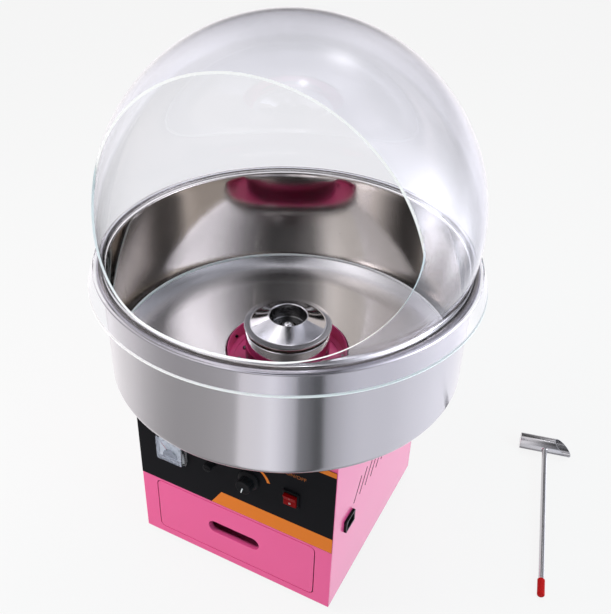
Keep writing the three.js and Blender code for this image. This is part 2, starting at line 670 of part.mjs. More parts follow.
// Bowl: floor with an upturned lip round the hole, a rounded shoulder, a straight wall, a rolled bead
function bowl() {
  const { radius, sheet, shoulderRun, shoulderRise, beadRadius, lipRise } = BOWL;
  const holeRadius = TURRET.radius + BOWL.holeGap;
  const shoulderR = radius - shoulderRun;
  const shoulderZ = BOWL_Z + shoulderRise;
  const beadX = radius + beadRadius;
  const beadZ = RIM_Z - beadRadius;
  const outside = arcPoints(shoulderR, shoulderZ, shoulderRun, shoulderRise, -90, 0, BOWL.arcSteps);
  const insideRun = shoulderRun - sheet;
  const insideRise = shoulderRise - sheet;
  const inside = arcPoints(shoulderR, shoulderZ, insideRun, insideRise, 0, -90, BOWL.arcSteps);
  const bead = arcPoints(beadX, beadZ, beadRadius, beadRadius, -BEAD_ROLL, BEAD_ROLL, BOWL.beadSteps);
  const profile = [
    [holeRadius, BOWL_Z],
    ...outside,
    ...bead,
    [radius - sheet, beadZ],
    ...inside,
    [holeRadius + sheet, BOWL_Z + sheet],
    [holeRadius + sheet, BOWL_Z + lipRise],
    [holeRadius, BOWL_Z + lipRise],
    [holeRadius, BOWL_Z],
  ];
  return part('bowl', 'satin_steel', turned(profile, ROUND_LARGE));
}

// Dome: a sphere's cap on a flange with a skirt, its front sliced off above the flange
function domeShell() {
  const { wall, flangeSheet, skirtDrop, skirtSpread, arcSteps } = DOME;
  const flangeInner = BOWL.radius - DOME.flangeReach;
  const flangeOuter = BOWL.radius + 2 * BOWL.beadRadius + DOME.skirtPlay;
  const low = RIM_Z + SEAM;
  const top = low + flangeSheet;
  const outerStart = Math.asin((top - DOME_Z) / DOME_RADIUS) / DEG;
  const innerRadius = DOME_RADIUS - wall;
  const innerStart = -Math.acos(flangeInner / innerRadius) / DEG;
  const outer = arcPoints(0, DOME_Z, DOME_RADIUS, DOME_RADIUS, outerStart, 90, arcSteps);
  const inner = arcPoints(0, DOME_Z, innerRadius, innerRadius, 90, innerStart, arcSteps);
  outer[outer.length - 1][0] = 0;
  inner[0][0] = 0;
  const skirtOuter = flangeOuter + skirtSpread;
  const profile = [
    ...inner,
    [flangeInner, low],
    [flangeOuter - wall, low],
    [skirtOuter - wall, top - skirtDrop],
    [skirtOuter, top - skirtDrop],
    [flangeOuter, top - 1],
    [flangeOuter - 1, top],
    ...outer,
  ];
  return turned(profile, ROUND_LARGE);
}

function domeOpening() {
  const low = RIM_Z + SEAM + DOME.flangeSheet + DOME.cutLowRise;
  const high = DOME_Z + DOME_RADIUS + DOME.wall;
  const { cornerX, cornerRun, cornerRise, cornerSteps } = DOME;
  const right = arcPoints(cornerX, low + cornerRise, cornerRun, cornerRise, -90, 0, cornerSteps);
  const left = right.map(([x, z]) => [-x, z]).reverse();
  const side = cornerX + cornerRun;
  const outline = polygon([...right, [side, high], [-side, high], ...left]);
  return frontPlate(outline, DOME_RADIUS).translate(0, -DOME.cutDepth, 0);
}

// The loose dome sits a little turned on the rim.
function dome() {
  const cover = part('dome_cover', 'clear_plastic', cut(domeShell(), domeOpening()));
  cover.rotation.z = DOME.turn * DEG;
  return cover;
}

// Motor hung under the roof
function motorPlate() {
  const plate = rectangle(MOTOR_PLATE.size, MOTOR_PLATE.size, 6);
  plate.holes.push(hole(MOTOR_PLATE.holeRadius));
  const geometry = extruded(plate, MOTOR_PLATE.sheet);
  return at(part('motor_plate', 'zinc_steel', geometry), 0, 0, MOTOR_PLATE_TOP - MOTOR_PLATE.sheet);
}

function motorPosts() {
  const low = MOTOR_PLATE_TOP + SEAM;
  const height = ROOF_Z - SHEET - SEAM - low;
  const posts = [];
  for (let i = 0; i < POST.count; i += 1) {
    const angle = (90 + (i * 360) / POST.count) * DEG;
    const geometry = turned(discProfile(POST.radius, 0, height), ROUND_SMALL);
    const mesh = part(`motor_post_${i + 1}`, 'black_rubber', geometry);
    posts.push(at(mesh, POST.circle * Math.cos(angle), POST.circle * Math.sin(angle), low));
  }
  return posts;
}

function motorHousing() {
  const seat = MOTOR.bearingRadius + SEAM;
  const boss = seat + MOTOR.bossWall;
  const { radius, wall, length, bearingHeight, bell } = MOTOR;
  const can = turned([
    [radius - wall, 0],
    [radius, 0],
    [radius, length],
    [seat, length],
    [seat, length - bearingHeight],
    [boss, length - bearingHeight],
    [boss, length - wall],
    [radius - wall, length - wall],
    [radius - wall, 0],
  ], ROUND_INNER);
  const bellDisc = turned([
    [seat, 0],
    [radius, 0],
    [radius, bell],
    [boss, bell],
    [boss, bearingHeight],
    [seat, bearingHeight],
    [seat, 0],
  ], ROUND_INNER);
  return [
    at(part('motor_can', 'motor_iron', can), 0, 0, CAN_LOW),
    at(part('motor_end_bell', 'zinc_steel', bellDisc), 0, 0, BELL_LOW),
  ];
}

function motorInside() {
  const race = ringProfile(SHAFT.radius + SEAM, MOTOR.bearingRadius, 0, MOTOR.bearingHeight);
  const outer = MOTOR.radius - MOTOR.wall - SEAM;
  const stator = ringProfile(MOTOR.statorInner, outer, 0, MOTOR.statorLength);
  const statorZ = CAN_LOW + (MOTOR.length - MOTOR.statorLength) / 2;
  const bearing = (name) => part(name, 'polished_steel', turned(race, ROUND_SMALL));
  return [
    at(bearing('bearing_upper'), 0, 0, CAN_TOP - MOTOR.bearingHeight),
    at(bearing('bearing_lower'), 0, 0, BELL_LOW),
    at(part('motor_stator', 'motor_iron', turned(stator, ROUND_INNER)), 0, 0, statorZ),
  ];
}

function brushGear() {
  const inner = RING.radius + SEAM;
  const holderX = inner + BRUSH.holderInset + BRUSH.holderDepth / 2;
  const low = MOTOR_PLATE_TOP + SEAM;
  const pocket = BRUSH.size + 2 * SEAM;
  const holder = block(BRUSH.holderDepth, BRUSH.holderWidth, BRUSH.holderHeight);
  holder.translate(0, 0, BRUSH.holderHeight / 2);
  const heights = [0, 1].map((i) => (
    RING_HUB_Z + RING.firstRise + i * RING.pitch + RING.height / 2
  ));
  const pockets = heights.map((z) => (
    block(2 * BRUSH.holderDepth, pocket, pocket).translate(-BRUSH.holderDepth / 2 - SHEET, 0, z - low)
  ));
  const brush = (name) => part(name, 'carbon', block(BRUSH.length, BRUSH.size, BRUSH.size));
  return [
    at(part('brush_holder', 'black_plastic', cut(holder, ...pockets)), holderX, 0, low),
    at(brush('carbon_brush_lower'), inner + BRUSH.length / 2, 0, heights[0]),
    at(brush('carbon_brush_upper'), inner + BRUSH.length / 2, 0, heights[1]),
  ];
}

// Everything that turns with the shaft
function shaft() {
  const geometry = turned(discProfile(SHAFT.radius, FAN_Z - SHAFT.tail, SHAFT_TOP), ROUND_SMALL);
  return part('motor_shaft', 'polished_steel', geometry);
}

function rotor() {
  const bore = SHAFT.radius + SEAM;
  const geometry = turned(ringProfile(bore, MOTOR.rotorRadius, 0, MOTOR.rotorLength), ROUND_INNER);
  const z = CAN_LOW + (MOTOR.length - MOTOR.rotorLength) / 2;
  return at(part('motor_rotor', 'motor_iron', geometry), 0, 0, z);
}

function fan() {
  const bore = SHAFT.radius + SEAM;
  const disc = turned([
    [bore, 0],
    [FAN.radius, 0],
    [FAN.radius, FAN.disc],
    [FAN.hubRadius, FAN.disc],
    [FAN.hubRadius, FAN.disc + FAN.bladeHeight],
    [bore, FAN.disc + FAN.bladeHeight],
    [bore, 0],
  ], ROUND_INNER);
  const length = FAN.radius - FAN.bladeInner - 1;
  const blades = [];
  for (let i = 0; i < FAN.count; i += 1) {
    const blade = block(length, FAN.bladeThick, FAN.bladeHeight + 1);
    blade.translate(FAN.bladeInner + length / 2, 0, FAN.disc + FAN.bladeHeight / 2 - 0.5);
    blades.push(blade.rotateZ((i * 2 * Math.PI) / FAN.count));
  }
  return at(part('cooling_fan', 'black_plastic', joined(disc, ...blades)), 0, 0, FAN_Z);
}

function slipRings() {
  const bore = SHAFT.radius + SEAM;
  const hub = turned(ringProfile(bore, RING_HUB.radius, 0, RING_HUB.height), ROUND_INNER);
  const ring = (name, i) => {
    const geometry = turned(ringProfile(RING_HUB.radius + SEAM, RING.radius, 0, RING.height), ROUND_INNER);
    return at(part(name, 'brass', geometry), 0, 0, RING_HUB_Z + RING.firstRise + i * RING.pitch);
  };
  return [
    at(part('slip_ring_hub', 'black_plastic', hub), 0, 0, RING_HUB_Z),
    ring('slip_ring_lower', 0),
    ring('slip_ring_upper', 1),
  ];
}

function headPan() {
  const bore = SHAFT.radius + SEAM;
  const { radius, sheet, hubRadius, hubDrop, bend } = HEAD;
  const geometry = turned([
    [bore, PAN_Z - hubDrop],
    [hubRadius, PAN_Z - hubDrop],
    [hubRadius, PAN_Z],
    [radius - bend, PAN_Z],
    [radius, PAN_Z + bend],
    [radius, PAN_TOP],
    [radius - sheet, PAN_TOP],
    [radius - sheet, PAN_Z + bend + sheet / 2],
    [radius - bend - sheet / 2, PAN_Z + sheet],
    [hubRadius, PAN_Z + sheet],
    [hubRadius, HUB_TOP],
    [bore, HUB_TOP],
    [bore, PAN_Z - hubDrop],
  ], ROUND_MEDIUM);
  return part('head_pan', 'polished_steel', geometry);
}

function heater() {
  const low = PAN_Z + HEAD.sheet + SEAM;
  const geometry = turned(ringProfile(HEATER.inner, HEATER.outer, low, low + HEATER.height), ROUND_INNER);
  return part('heater_ring', 'heater_alloy', geometry);
}

function meshBand() {
  const low = PAN_TOP + SEAM;
  const { meshRadius, meshWall, meshHeight } = HEAD;
  const profile = ringProfile(meshRadius - meshWall, meshRadius, low, low + meshHeight);
  const geometry = turned(profile, ROUND_MEDIUM);
  return part('mesh_band', 'heater_alloy', geometry);
}

function headCap() {
  const low = PAN_TOP + HEAD.meshHeight + 2 * SEAM;
  const { flangeRadius, flangeThick, coneInset, coneRise, mouthRadius, rimRadius, capSheet } = HEAD;
  const coneRadius = flangeRadius - coneInset;
  const top = low + flangeThick;
  const rimZ = top + coneRise;
  const rim = arcPoints(mouthRadius - rimRadius / 2, rimZ - rimRadius, rimRadius, rimRadius, 30, 200, 6);
  const slope = capSheet * Math.hypot(coneRise, coneRadius - mouthRadius) / (coneRadius - mouthRadius);
  const geometry = turned([
    [coneRadius - flangeThick, low],
    [flangeRadius - 0.8, low],
    [flangeRadius, low + 0.8],
    [flangeRadius, top - 0.8],
    [flangeRadius - 0.8, top],
    [coneRadius, top],
    ...rim,
    [mouthRadius - rimRadius, rimZ - rimRadius - slope],
    [coneRadius - flangeThick, top - slope + 0.6],
    [coneRadius - flangeThick, low],
  ], ROUND_MEDIUM);
  return part('head_cap', 'polished_steel', geometry);
}

function clampNut() {
  const low = HUB_TOP + SEAM;
  const bore = SHAFT.radius + SEAM;
  const dome = NUT.height - NUT.cover;
  const geometry = turned([
    [bore, 0],
    [NUT.radius, 0],
    [NUT.radius, NUT.cover],
    ...arcPoints(0, NUT.cover, NUT.radius - 1, dome, 0, 78, 5),
    [0, NUT.height],
    [0, SHAFT_TOP - low + SEAM],
    [bore, SHAFT_TOP - low + SEAM],
    [bore, 0],
  ], ROUND_SMALL);
  return at(part('clamp_nut', 'polished_steel', geometry), 0, 0, low);
}

// Electrics standing on the shelf
function controlBoard() {
  const legX = BOARD.width / 2 - BOARD.legInset;
  const legY = BOARD.depth / 2 - BOARD.legInset;
  const board = block(BOARD.width, BOARD.depth, BOARD.sheet).translate(0, 0, BOARD.legHeight + BOARD.sheet / 2);
  const legs = [[-1, -1], [1, -1], [-1, 1], [1, 1]].map(([x, y]) => (
    turned(discProfile(BOARD.legRadius, 0, BOARD.legHeight + BOARD.sheet / 2), 12)
      .translate(x * legX, y * legY, 0)
  ));
  const rise = BOARD.legHeight + BOARD.sheet / 2;
  const sink = block(SINK.width, SINK.depth, SINK.height);
  sink.translate(SINK.x, SINK.y, rise + SINK.height / 2);
  const choke = turned(ringProfile(CHOKE.inner, CHOKE.outer, rise, rise + CHOKE.height), 16);
  choke.translate(CHOKE.x, CHOKE.y, 0);
  const geometry = joined(board, ...legs, sink, choke);
  const x = BOARD.sideGap + BOARD.width / 2 - INNER_X;
  const y = INNER_Y - BOARD.backGap - BOARD.depth / 2;
  const z = SHELF_Z + SHELF.sheet + SEAM;
  return at(part('control_board', 'board_green', geometry), x, y, z);
}

function terminalBlock() {
  const body = block(TERMINALS.width, TERMINALS.depth, TERMINALS.height).translate(0, 0, TERMINALS.height / 2);
  const pitch = TERMINALS.width / TERMINALS.slots;
  const slots = [];
  for (let i = 0; i < TERMINALS.slots; i += 1) {
    const slotX = -TERMINALS.width / 2 + (i + 0.5) * pitch;
    const slot = block(pitch - TERMINALS.wall, TERMINALS.depth / 2, TERMINALS.height / 2);
    slots.push(slot.translate(slotX, TERMINALS.depth / 2, TERMINALS.height));
  }
  const x = INNER_X - TERMINALS.sideGap - TERMINALS.width / 2;
  const y = INNER_Y - TERMINALS.backGap - TERMINALS.depth / 2;
  const z = SHELF_Z + SHELF.sheet + SEAM;
  return at(part('terminal_block', 'black_plastic', cut(body, ...slots)), x, y, z);
}

// Scoop: a short tube with a slanted mouth on a long rod with a rubber tip, lying on its back
function scoopTube() {
  const { tubeRadius, tubeWall, backLength, frontTop, frontLow } = SCOOP;
  const length = backLength + frontLow;
  const alongX = new THREE.Matrix4().makeBasis(AXIS_Y, AXIS_Z, AXIS_X);
  const outer = turned(discProfile(tubeRadius, 0, length), ROUND_SMALL).applyMatrix4(alongX);
  const inner = turned(discProfile(tubeRadius - tubeWall, tubeWall, length + 1), ROUND_SMALL);
  inner.applyMatrix4(alongX);
  const tube = cut(outer, inner).translate(-backLength, 0, 0);
  const slope = (frontLow - frontTop) / (2 * tubeRadius);
  const over = 4;
  const beyond = frontLow + 2 * tubeRadius;
  const wedge = polygon([
    [frontTop - slope * over, tubeRadius + over],
    [frontLow + slope * over, -tubeRadius - over],
    [beyond, -tubeRadius - over],
    [beyond, tubeRadius + over],
  ]);
  const tool = frontPlate(wedge, 4 * tubeRadius).translate(0, 2 * tubeRadius, 0);
  return part('scoop_tube', 'polished_steel', cut(tube, tool));
}

function scoopHandle() {
  const { tubeRadius, rodRadius, tipRadius, tipLength, tipEnd, handleLength } = SCOOP;
  const start = tubeRadius + SEAM;
  const rodEnd = handleLength - tipEnd - SEAM;
  const bore = rodRadius + SEAM;
  const tipStart = handleLength - tipLength;
  const rod = turnedToFront(discProfile(rodRadius, start, rodEnd), 12);
  const tip = turnedToFront([
    [bore, tipStart],
    [tipRadius, tipStart],
    [tipRadius, handleLength - 1.5],
    [tipRadius - 1.5, handleLength],
    [0, handleLength],
    [0, handleLength - tipEnd],
    [bore, handleLength - tipEnd],
    [bore, tipStart],
  ], 16);
  return [part('scoop_rod', 'polished_steel', rod), part('scoop_tip', 'red_rubber', tip)];
}

function scoop() {
  const group = new THREE.Group();
  group.add(scoopTube(), ...scoopHandle());
  const droop = Math.asin((SCOOP.tubeRadius - SCOOP.tipRadius) / (SCOOP.handleLength - SCOOP.tipEnd));
  const turn = SCOOP.turn * DEG;
  group.rotation.order = 'ZYX';
  group.rotation.x = droop;
  group.rotation.z = turn;
  const x = SCOOP.tipX - SCOOP.handleLength * Math.sin(turn);
  const y = SCOOP.tipY + SCOOP.handleLength * Math.cos(turn);
  group.position.set(x, y, SCOOP.tubeRadius);
  return group;
}

function assembly(...pieces) {
  const group = new THREE.Group();
  group.add(...pieces.flat());
  return group;
}

const machine = assembly(
  assembly(feet(), basePlate(), topPlate(), frontPanel(), backPanel(), sidePanels(), controlOverlay()),
  assembly(drawerShelf(), runners(), controlBoard(), terminalBlock()),
  assembly(voltmeter(), fuseHolder(), heatRegulator(), rockerSwitch(), inletSocket()),
  assembly(turret(), bowlSeat(), motorPlate(), motorPosts(), motorHousing(), motorInside(), brushGear()),
  assembly(shaft(), rotor(), fan(), slipRings(), headPan(), heater(), meshBand(), headCap(), clampNut()),
  assembly(drawerFront(), drawerTray()),
  assembly(voltmeterNeedle(), fuseCap(), heatKnob(), rockerButton()),
  assembly(bowl(), dome()),
  scoop(),
);

export default machine;
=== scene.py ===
"""Looks of the candy floss machine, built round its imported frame.

Sizes in the classes are millimetres in the machine's own frame: +Z up along the spinner's axis,
the front towards -Y and the origin on the table. Meshes are written in metres.
"""

import logging
import math
from dataclasses import dataclass
from enum import Enum
from typing import Callable, Sequence

import bmesh
import bpy
from mathutils import Matrix, Vector


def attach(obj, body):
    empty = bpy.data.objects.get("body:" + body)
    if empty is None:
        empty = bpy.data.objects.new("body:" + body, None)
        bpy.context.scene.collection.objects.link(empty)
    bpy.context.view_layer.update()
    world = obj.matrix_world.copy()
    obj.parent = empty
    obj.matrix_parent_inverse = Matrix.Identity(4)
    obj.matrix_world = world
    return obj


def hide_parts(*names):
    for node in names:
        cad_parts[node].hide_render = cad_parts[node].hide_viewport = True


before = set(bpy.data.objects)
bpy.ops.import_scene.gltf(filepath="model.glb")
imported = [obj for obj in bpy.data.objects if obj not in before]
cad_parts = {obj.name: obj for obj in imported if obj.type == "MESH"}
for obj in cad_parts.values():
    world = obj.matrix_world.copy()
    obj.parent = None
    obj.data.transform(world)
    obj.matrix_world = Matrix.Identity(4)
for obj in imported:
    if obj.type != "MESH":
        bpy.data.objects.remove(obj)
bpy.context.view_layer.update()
LOG = logging.getLogger("floss_machine")
MM = 0.001
FRONT = Matrix.Rotation(math.radians(90), 4, "X")
Profile = Sequence[tuple[float, float]]
Colour = tuple[float, float, float]


class Body(Enum):
    """The bodies that pieces ride on."""

    MACHINE = "machine"
    SPINNER = "spinner"
    DRAWER = "drawer"
    NEEDLE = "needle"
    FUSE = "fuse_carrier"
    KNOB = "knob"
    ROCKER = "rocker"
    BOWL = "floss_bowl"
    DOME = "dome"
    SCOOP = "scoop"


class Tree:
    """A shader or geometry tree that is being built."""

    def __init__(self, tree: bpy.types.NodeTree) -> None:
        """Keeps the tree."""
        self.tree = tree

    def add(self, kind: str, inputs: dict | None = None, **settings: object) -> bpy.types.Node:
        """Adds a node.

        Args:
            kind: The node's type name.
            inputs: Input name or number to a value, or to a socket to link from.
            settings: The node's own settings.

        Returns:
            The new node.
        """
        node = self.tree.nodes.new(kind)
        for name, value in settings.items():
            setattr(node, name, value)
        for name, value in (inputs or {}).items():
            self.feed(node.inputs[name], value)
        return node

    def feed(self, socket: bpy.types.NodeSocket, value: object) -> None:
        """Links a socket into an input, or writes a plain value there."""
        if isinstance(value, bpy.types.NodeSocket):
            self.tree.links.new(value, socket)
        else:
            socket.default_value = value

    def sum(self, operation: str, *values: object) -> bpy.types.NodeSocket:
        """A Math node.

        Args:
            operation: The name of the sum.
            values: Numbers or sockets.

        Returns:
            The result's socket.
        """
        node = self.add("ShaderNodeMath", dict(enumerate(values)), operation=operation)
        return node.outputs[0]

    def noise(self, vector: object, scale: float, detail: float = 2.0, rough: float = 0.5) -> bpy.types.NodeSocket:
        """A noise value.

        Args:
            vector: The place that it is read at.
            scale: How fine it is.
            detail: How many octaves.
            rough: How strong the finer ones are.

        Returns:
            The value's socket, about 0.5 on average.
        """
        inputs = {"Vector": vector, "Scale": scale, "Detail": detail, "Roughness": rough}
        return self.add("ShaderNodeTexNoise", inputs).outputs[0]

    def blend(self, share: object, one: object, two: object) -> bpy.types.NodeSocket:
        """Mixes two colours.

        Args:
            share: How much of the second.
            one: First colour.
            two: Second colour.

        Returns:
            The mixed colour's socket.
        """
        node = self.add("ShaderNodeMix", {0: share, 6: one, 7: two}, data_type="RGBA")
        return node.outputs[2]

    def ease(self, value: object, start: float, end: float, low: float = 0.0,
             high: float = 1.0) -> bpy.types.NodeSocket:
        """A smooth step.

        Args:
            value: What it reads.
            start: Where the step begins.
            end: Where it ends.
            low: Result before it.
            high: Result after it.

        Returns:
            The result's socket.
        """
        inputs = {0: value, 1: start, 2: end, 3: low, 4: high}
        return self.add("ShaderNodeMapRange", inputs, interpolation_type="SMOOTHSTEP").outputs[0]

    def place(self) -> bpy.types.NodeSocket:
        """The object coordinates."""
        return self.add("ShaderNodeTexCoord").outputs["Object"]


def emptied(owner: bpy.types.ID) -> Tree:
    """The node tree of a new material or world, without its first nodes."""
    owner.use_nodes = True
    owner.node_tree.nodes.clear()
    return Tree(owner.node_tree)


class Effect(Enum):
    """Shader groups that several finishes share. Each is built once."""

    GRAIN = "surface_grain"
    RINGS = "turning_rings"
    BRUSHED = "brushed_lines"
    DUST = "fine_dust"

    def build(self) -> bpy.types.NodeTree:
        """Makes the group, or finds it again.

        Returns:
            The group's tree.
        """
        known = bpy.data.node_groups.get(self.value)
        if known:
            return known
        group = bpy.data.node_groups.new(self.value, "ShaderNodeTree")
        tree = Tree(group)
        if self is Effect.DUST:
            self._sockets(group, ("Scale", "Amount"), ("Mask",))
            ins, outs = tree.add("NodeGroupInput"), tree.add("NodeGroupOutput")
            up = tree.add("ShaderNodeSeparateXYZ", {0: tree.add("ShaderNodeNewGeometry").outputs["Normal"]})
            facing = tree.sum("SMOOTH_MIN", tree.sum("MAXIMUM", up.outputs[2], 0.0), 1.0, 0.2)
            specks = tree.noise(tree.place(), ins.outputs["Scale"], 6.0, 0.7)
            patch = tree.sum("SUBTRACT", specks, 0.52)
            mask = tree.sum("MULTIPLY", tree.sum("MULTIPLY", patch, ins.outputs["Amount"]), facing)
            tree.feed(outs.inputs["Mask"], tree.sum("MAXIMUM", mask, 0.0))
            return group
        self._sockets(group, ("Scale", "Depth", "Roughness", "Spread"), ("Roughness", "Tone"), ("Normal",))
        ins, outs = tree.add("NodeGroupInput"), tree.add("NodeGroupOutput")
        place = tree.place()
        if self is not Effect.GRAIN:
            part = tree.add("ShaderNodeSeparateXYZ", {0: place})
            if self is Effect.RINGS:
                across = tree.add("ShaderNodeVectorMath", {0: place, 1: (1, 1, 0)}, operation="MULTIPLY")
                radius = tree.add("ShaderNodeVectorMath", {0: across.outputs[0]}, operation="LENGTH")
                turn = tree.sum("ARCTAN2", part.outputs[1], part.outputs[0])
                parts = {0: radius.outputs["Value"], 1: tree.sum("MULTIPLY", turn, 0.0012), 2: part.outputs[2]}
            else:
                parts = {0: tree.sum("MULTIPLY", part.outputs[0], 0.02), 1: part.outputs[1], 2: part.outputs[2]}
            place = tree.add("ShaderNodeCombineXYZ", parts).outputs[0]
        fine = tree.noise(place, ins.outputs["Scale"], 3.0, 0.6)
        broad = tree.noise(tree.place(), 14.0, 3.0)
        drift = tree.sum("SUBTRACT", tree.sum("ADD", fine, broad), 1.0)
        rough = tree.sum("MULTIPLY_ADD", drift, ins.outputs["Spread"], ins.outputs["Roughness"])
        bump = {"Height": fine, "Distance": ins.outputs["Depth"], "Strength": 1.0}
        tree.feed(outs.inputs["Roughness"], rough)
        tree.feed(outs.inputs["Tone"], tree.sum("MULTIPLY_ADD", drift, 0.5, 0.5))
        tree.feed(outs.inputs["Normal"], tree.add("ShaderNodeBump", bump).outputs[0])
        return group

    @staticmethod
    def _sockets(group: bpy.types.NodeTree, ins: Sequence[str], outs: Sequence[str],
                 vectors: Sequence[str] = ()) -> None:
        """Gives the group its named inputs and outputs."""
        for names, way, kind in ((ins, "INPUT", "Float"), (outs, "OUTPUT", "Float"), (vectors, "OUTPUT", "Vector")):
            for name in names:
                group.interface.new_socket(name, in_out=way, socket_type=f"NodeSocket{kind}")


@dataclass(frozen=True)
class Finish:
    """One finish: an evenly coloured surface with a fine grain."""

    name: str
    slot: str
    colour: Colour
    roughness: float = 0.4
    metallic: float = 0.0
    grain: float = 900.0
    depth: float = 0.00001
    spread: float = 0.1
    tone: float = 0.12
    dust: float = 0.0
    coat: float = 0.0
    coat_roughness: float = 0.1
    anisotropy: float = 0.0
    effect: Effect = Effect.GRAIN
    specular: float = 0.5

    def material(self) -> bpy.types.Material:
        """Makes the material, or finds it again.

        Returns:
            The material.
        """
        known = bpy.data.materials.get(self.name)
        if known:
            return known
        made = bpy.data.materials.new(self.name)
        made.diffuse_color = (*self.colour, 1.0)
        tree = emptied(made)
        tree.feed(tree.add("ShaderNodeOutputMaterial").inputs["Surface"], self.surface(tree))
        return made

    def surface(self, tree: Tree) -> bpy.types.NodeSocket:
        """Builds the shader.

        Args:
            tree: The material's tree.

        Returns:
            The shader's socket.
        """
        effect = tree.add("ShaderNodeGroup", node_tree=self.effect.build())
        sizes = {"Scale": self.grain, "Depth": self.depth, "Roughness": self.roughness, "Spread": self.spread}
        for name, value in sizes.items():
            effect.inputs[name].default_value = value
        colour = self.pattern(tree, effect.outputs["Tone"])
        if self.dust:
            veil = tree.add("ShaderNodeGroup", node_tree=Effect.DUST.build())
            veil.inputs["Scale"].default_value, veil.inputs["Amount"].default_value = 160.0, self.dust
            colour = tree.blend(veil.outputs["Mask"], colour, (0.62, 0.6, 0.58, 1.0))
        shader = tree.add("ShaderNodeBsdfPrincipled", {
            "Base Color": colour, "Roughness": effect.outputs["Roughness"], "Metallic": self.metallic,
            "Normal": effect.outputs["Normal"], "Coat Weight": self.coat, "Coat Roughness": self.coat_roughness,
            "Anisotropic": self.anisotropy, "Anisotropic Rotation": 0.25 if self.anisotropy else 0.0,
            "Specular IOR Level": self.specular,
        })
        if self.anisotropy:
            tree.feed(shader.inputs["Tangent"],
                      tree.add("ShaderNodeTangent", direction_type="RADIAL", axis="Z").outputs[0])
        return shader.outputs[0]

    def pattern(self, tree: Tree, tone: bpy.types.NodeSocket) -> bpy.types.NodeSocket:
        """The colour, a little darker and lighter with the surface's tone.

        Args:
            tree: The material's tree.
            tone: The effect's tone.

        Returns:
            The colour's socket.
        """
        low = tuple(c * (1 - self.tone) for c in self.colour)
        high = tuple(min(1.0, c * (1 + self.tone)) for c in self.colour)
        return tree.blend(tone, (*low, 1.0), (*high, 1.0))


@dataclass(frozen=True)
class ClearFinish(Finish):
    """Clear moulded plastic that lets the lamps through."""

    shade: Colour = (0.9, 0.9, 0.94)
    index: float = 1.49

    def surface(self, tree: Tree) -> bpy.types.NodeSocket:
        """Builds the shader.

        Args:
            tree: The material's tree.

        Returns:
            The shader's socket.
        """
        waves = tree.noise(tree.place(), 9.0, 1.0)
        bump = tree.add("ShaderNodeBump", {"Height": waves, "Distance": self.depth, "Strength": 1.0})
        glass = tree.add("ShaderNodeBsdfPrincipled", {
            "Base Color": (*self.colour, 1.0), "Roughness": self.roughness, "IOR": self.index,
            "Transmission Weight": 1.0, "Normal": bump.outputs[0],
        })
        open_way = tree.add("ShaderNodeBsdfTransparent", {"Color": (*self.shade, 1.0)})
        path = tree.add("ShaderNodeLightPath")
        share = path.outputs["Is Shadow Ray"]
        return tree.add("ShaderNodeMixShader", {0: share, 1: glass.outputs[0], 2: open_way.outputs[0]}).outputs[0]


@dataclass(frozen=True)
class MilkyFinish(Finish):
    """A surface that is partly seen through."""

    clear: float = 0.5

    def surface(self, tree: Tree) -> bpy.types.NodeSocket:
        """Builds the shader."""
        open_way = tree.add("ShaderNodeBsdfTransparent")
        return tree.add("ShaderNodeMixShader",
                        {0: self.clear, 1: super().surface(tree), 2: open_way.outputs[0]}).outputs[0]


@dataclass(frozen=True)
class SpeckledFilm(MilkyFinish):
    """Protective film with small dark flecks under it."""

    def pattern(self, tree: Tree, tone: bpy.types.NodeSocket) -> bpy.types.NodeSocket:
        """The flecked colour.

        Args:
            tree: The material's tree.
            tone: The effect's tone.

        Returns:
            The colour's socket.
        """
        plain = super().pattern(tree, tone)
        flecks = tree.add("ShaderNodeMapRange", {0: tree.noise(tree.place(), 430.0, 2.0), 1: 0.56, 2: 0.62})
        return tree.blend(flecks.outputs[0], plain, (0.02, 0.03, 0.06, 1.0))


@dataclass(frozen=True)
class HeatTint(Finish):
    """Metal with the straw and brown tints of heat."""

    def pattern(self, tree: Tree, tone: bpy.types.NodeSocket) -> bpy.types.NodeSocket:
        """The tinted colour.

        Args:
            tree: The material's tree.
            tone: The effect's tone.

        Returns:
            The colour's socket.
        """
        plain = super().pattern(tree, tone)
        return tree.blend(tree.noise(tree.place(), 60.0, 3.0), plain, (0.22, 0.15, 0.1, 1.0))


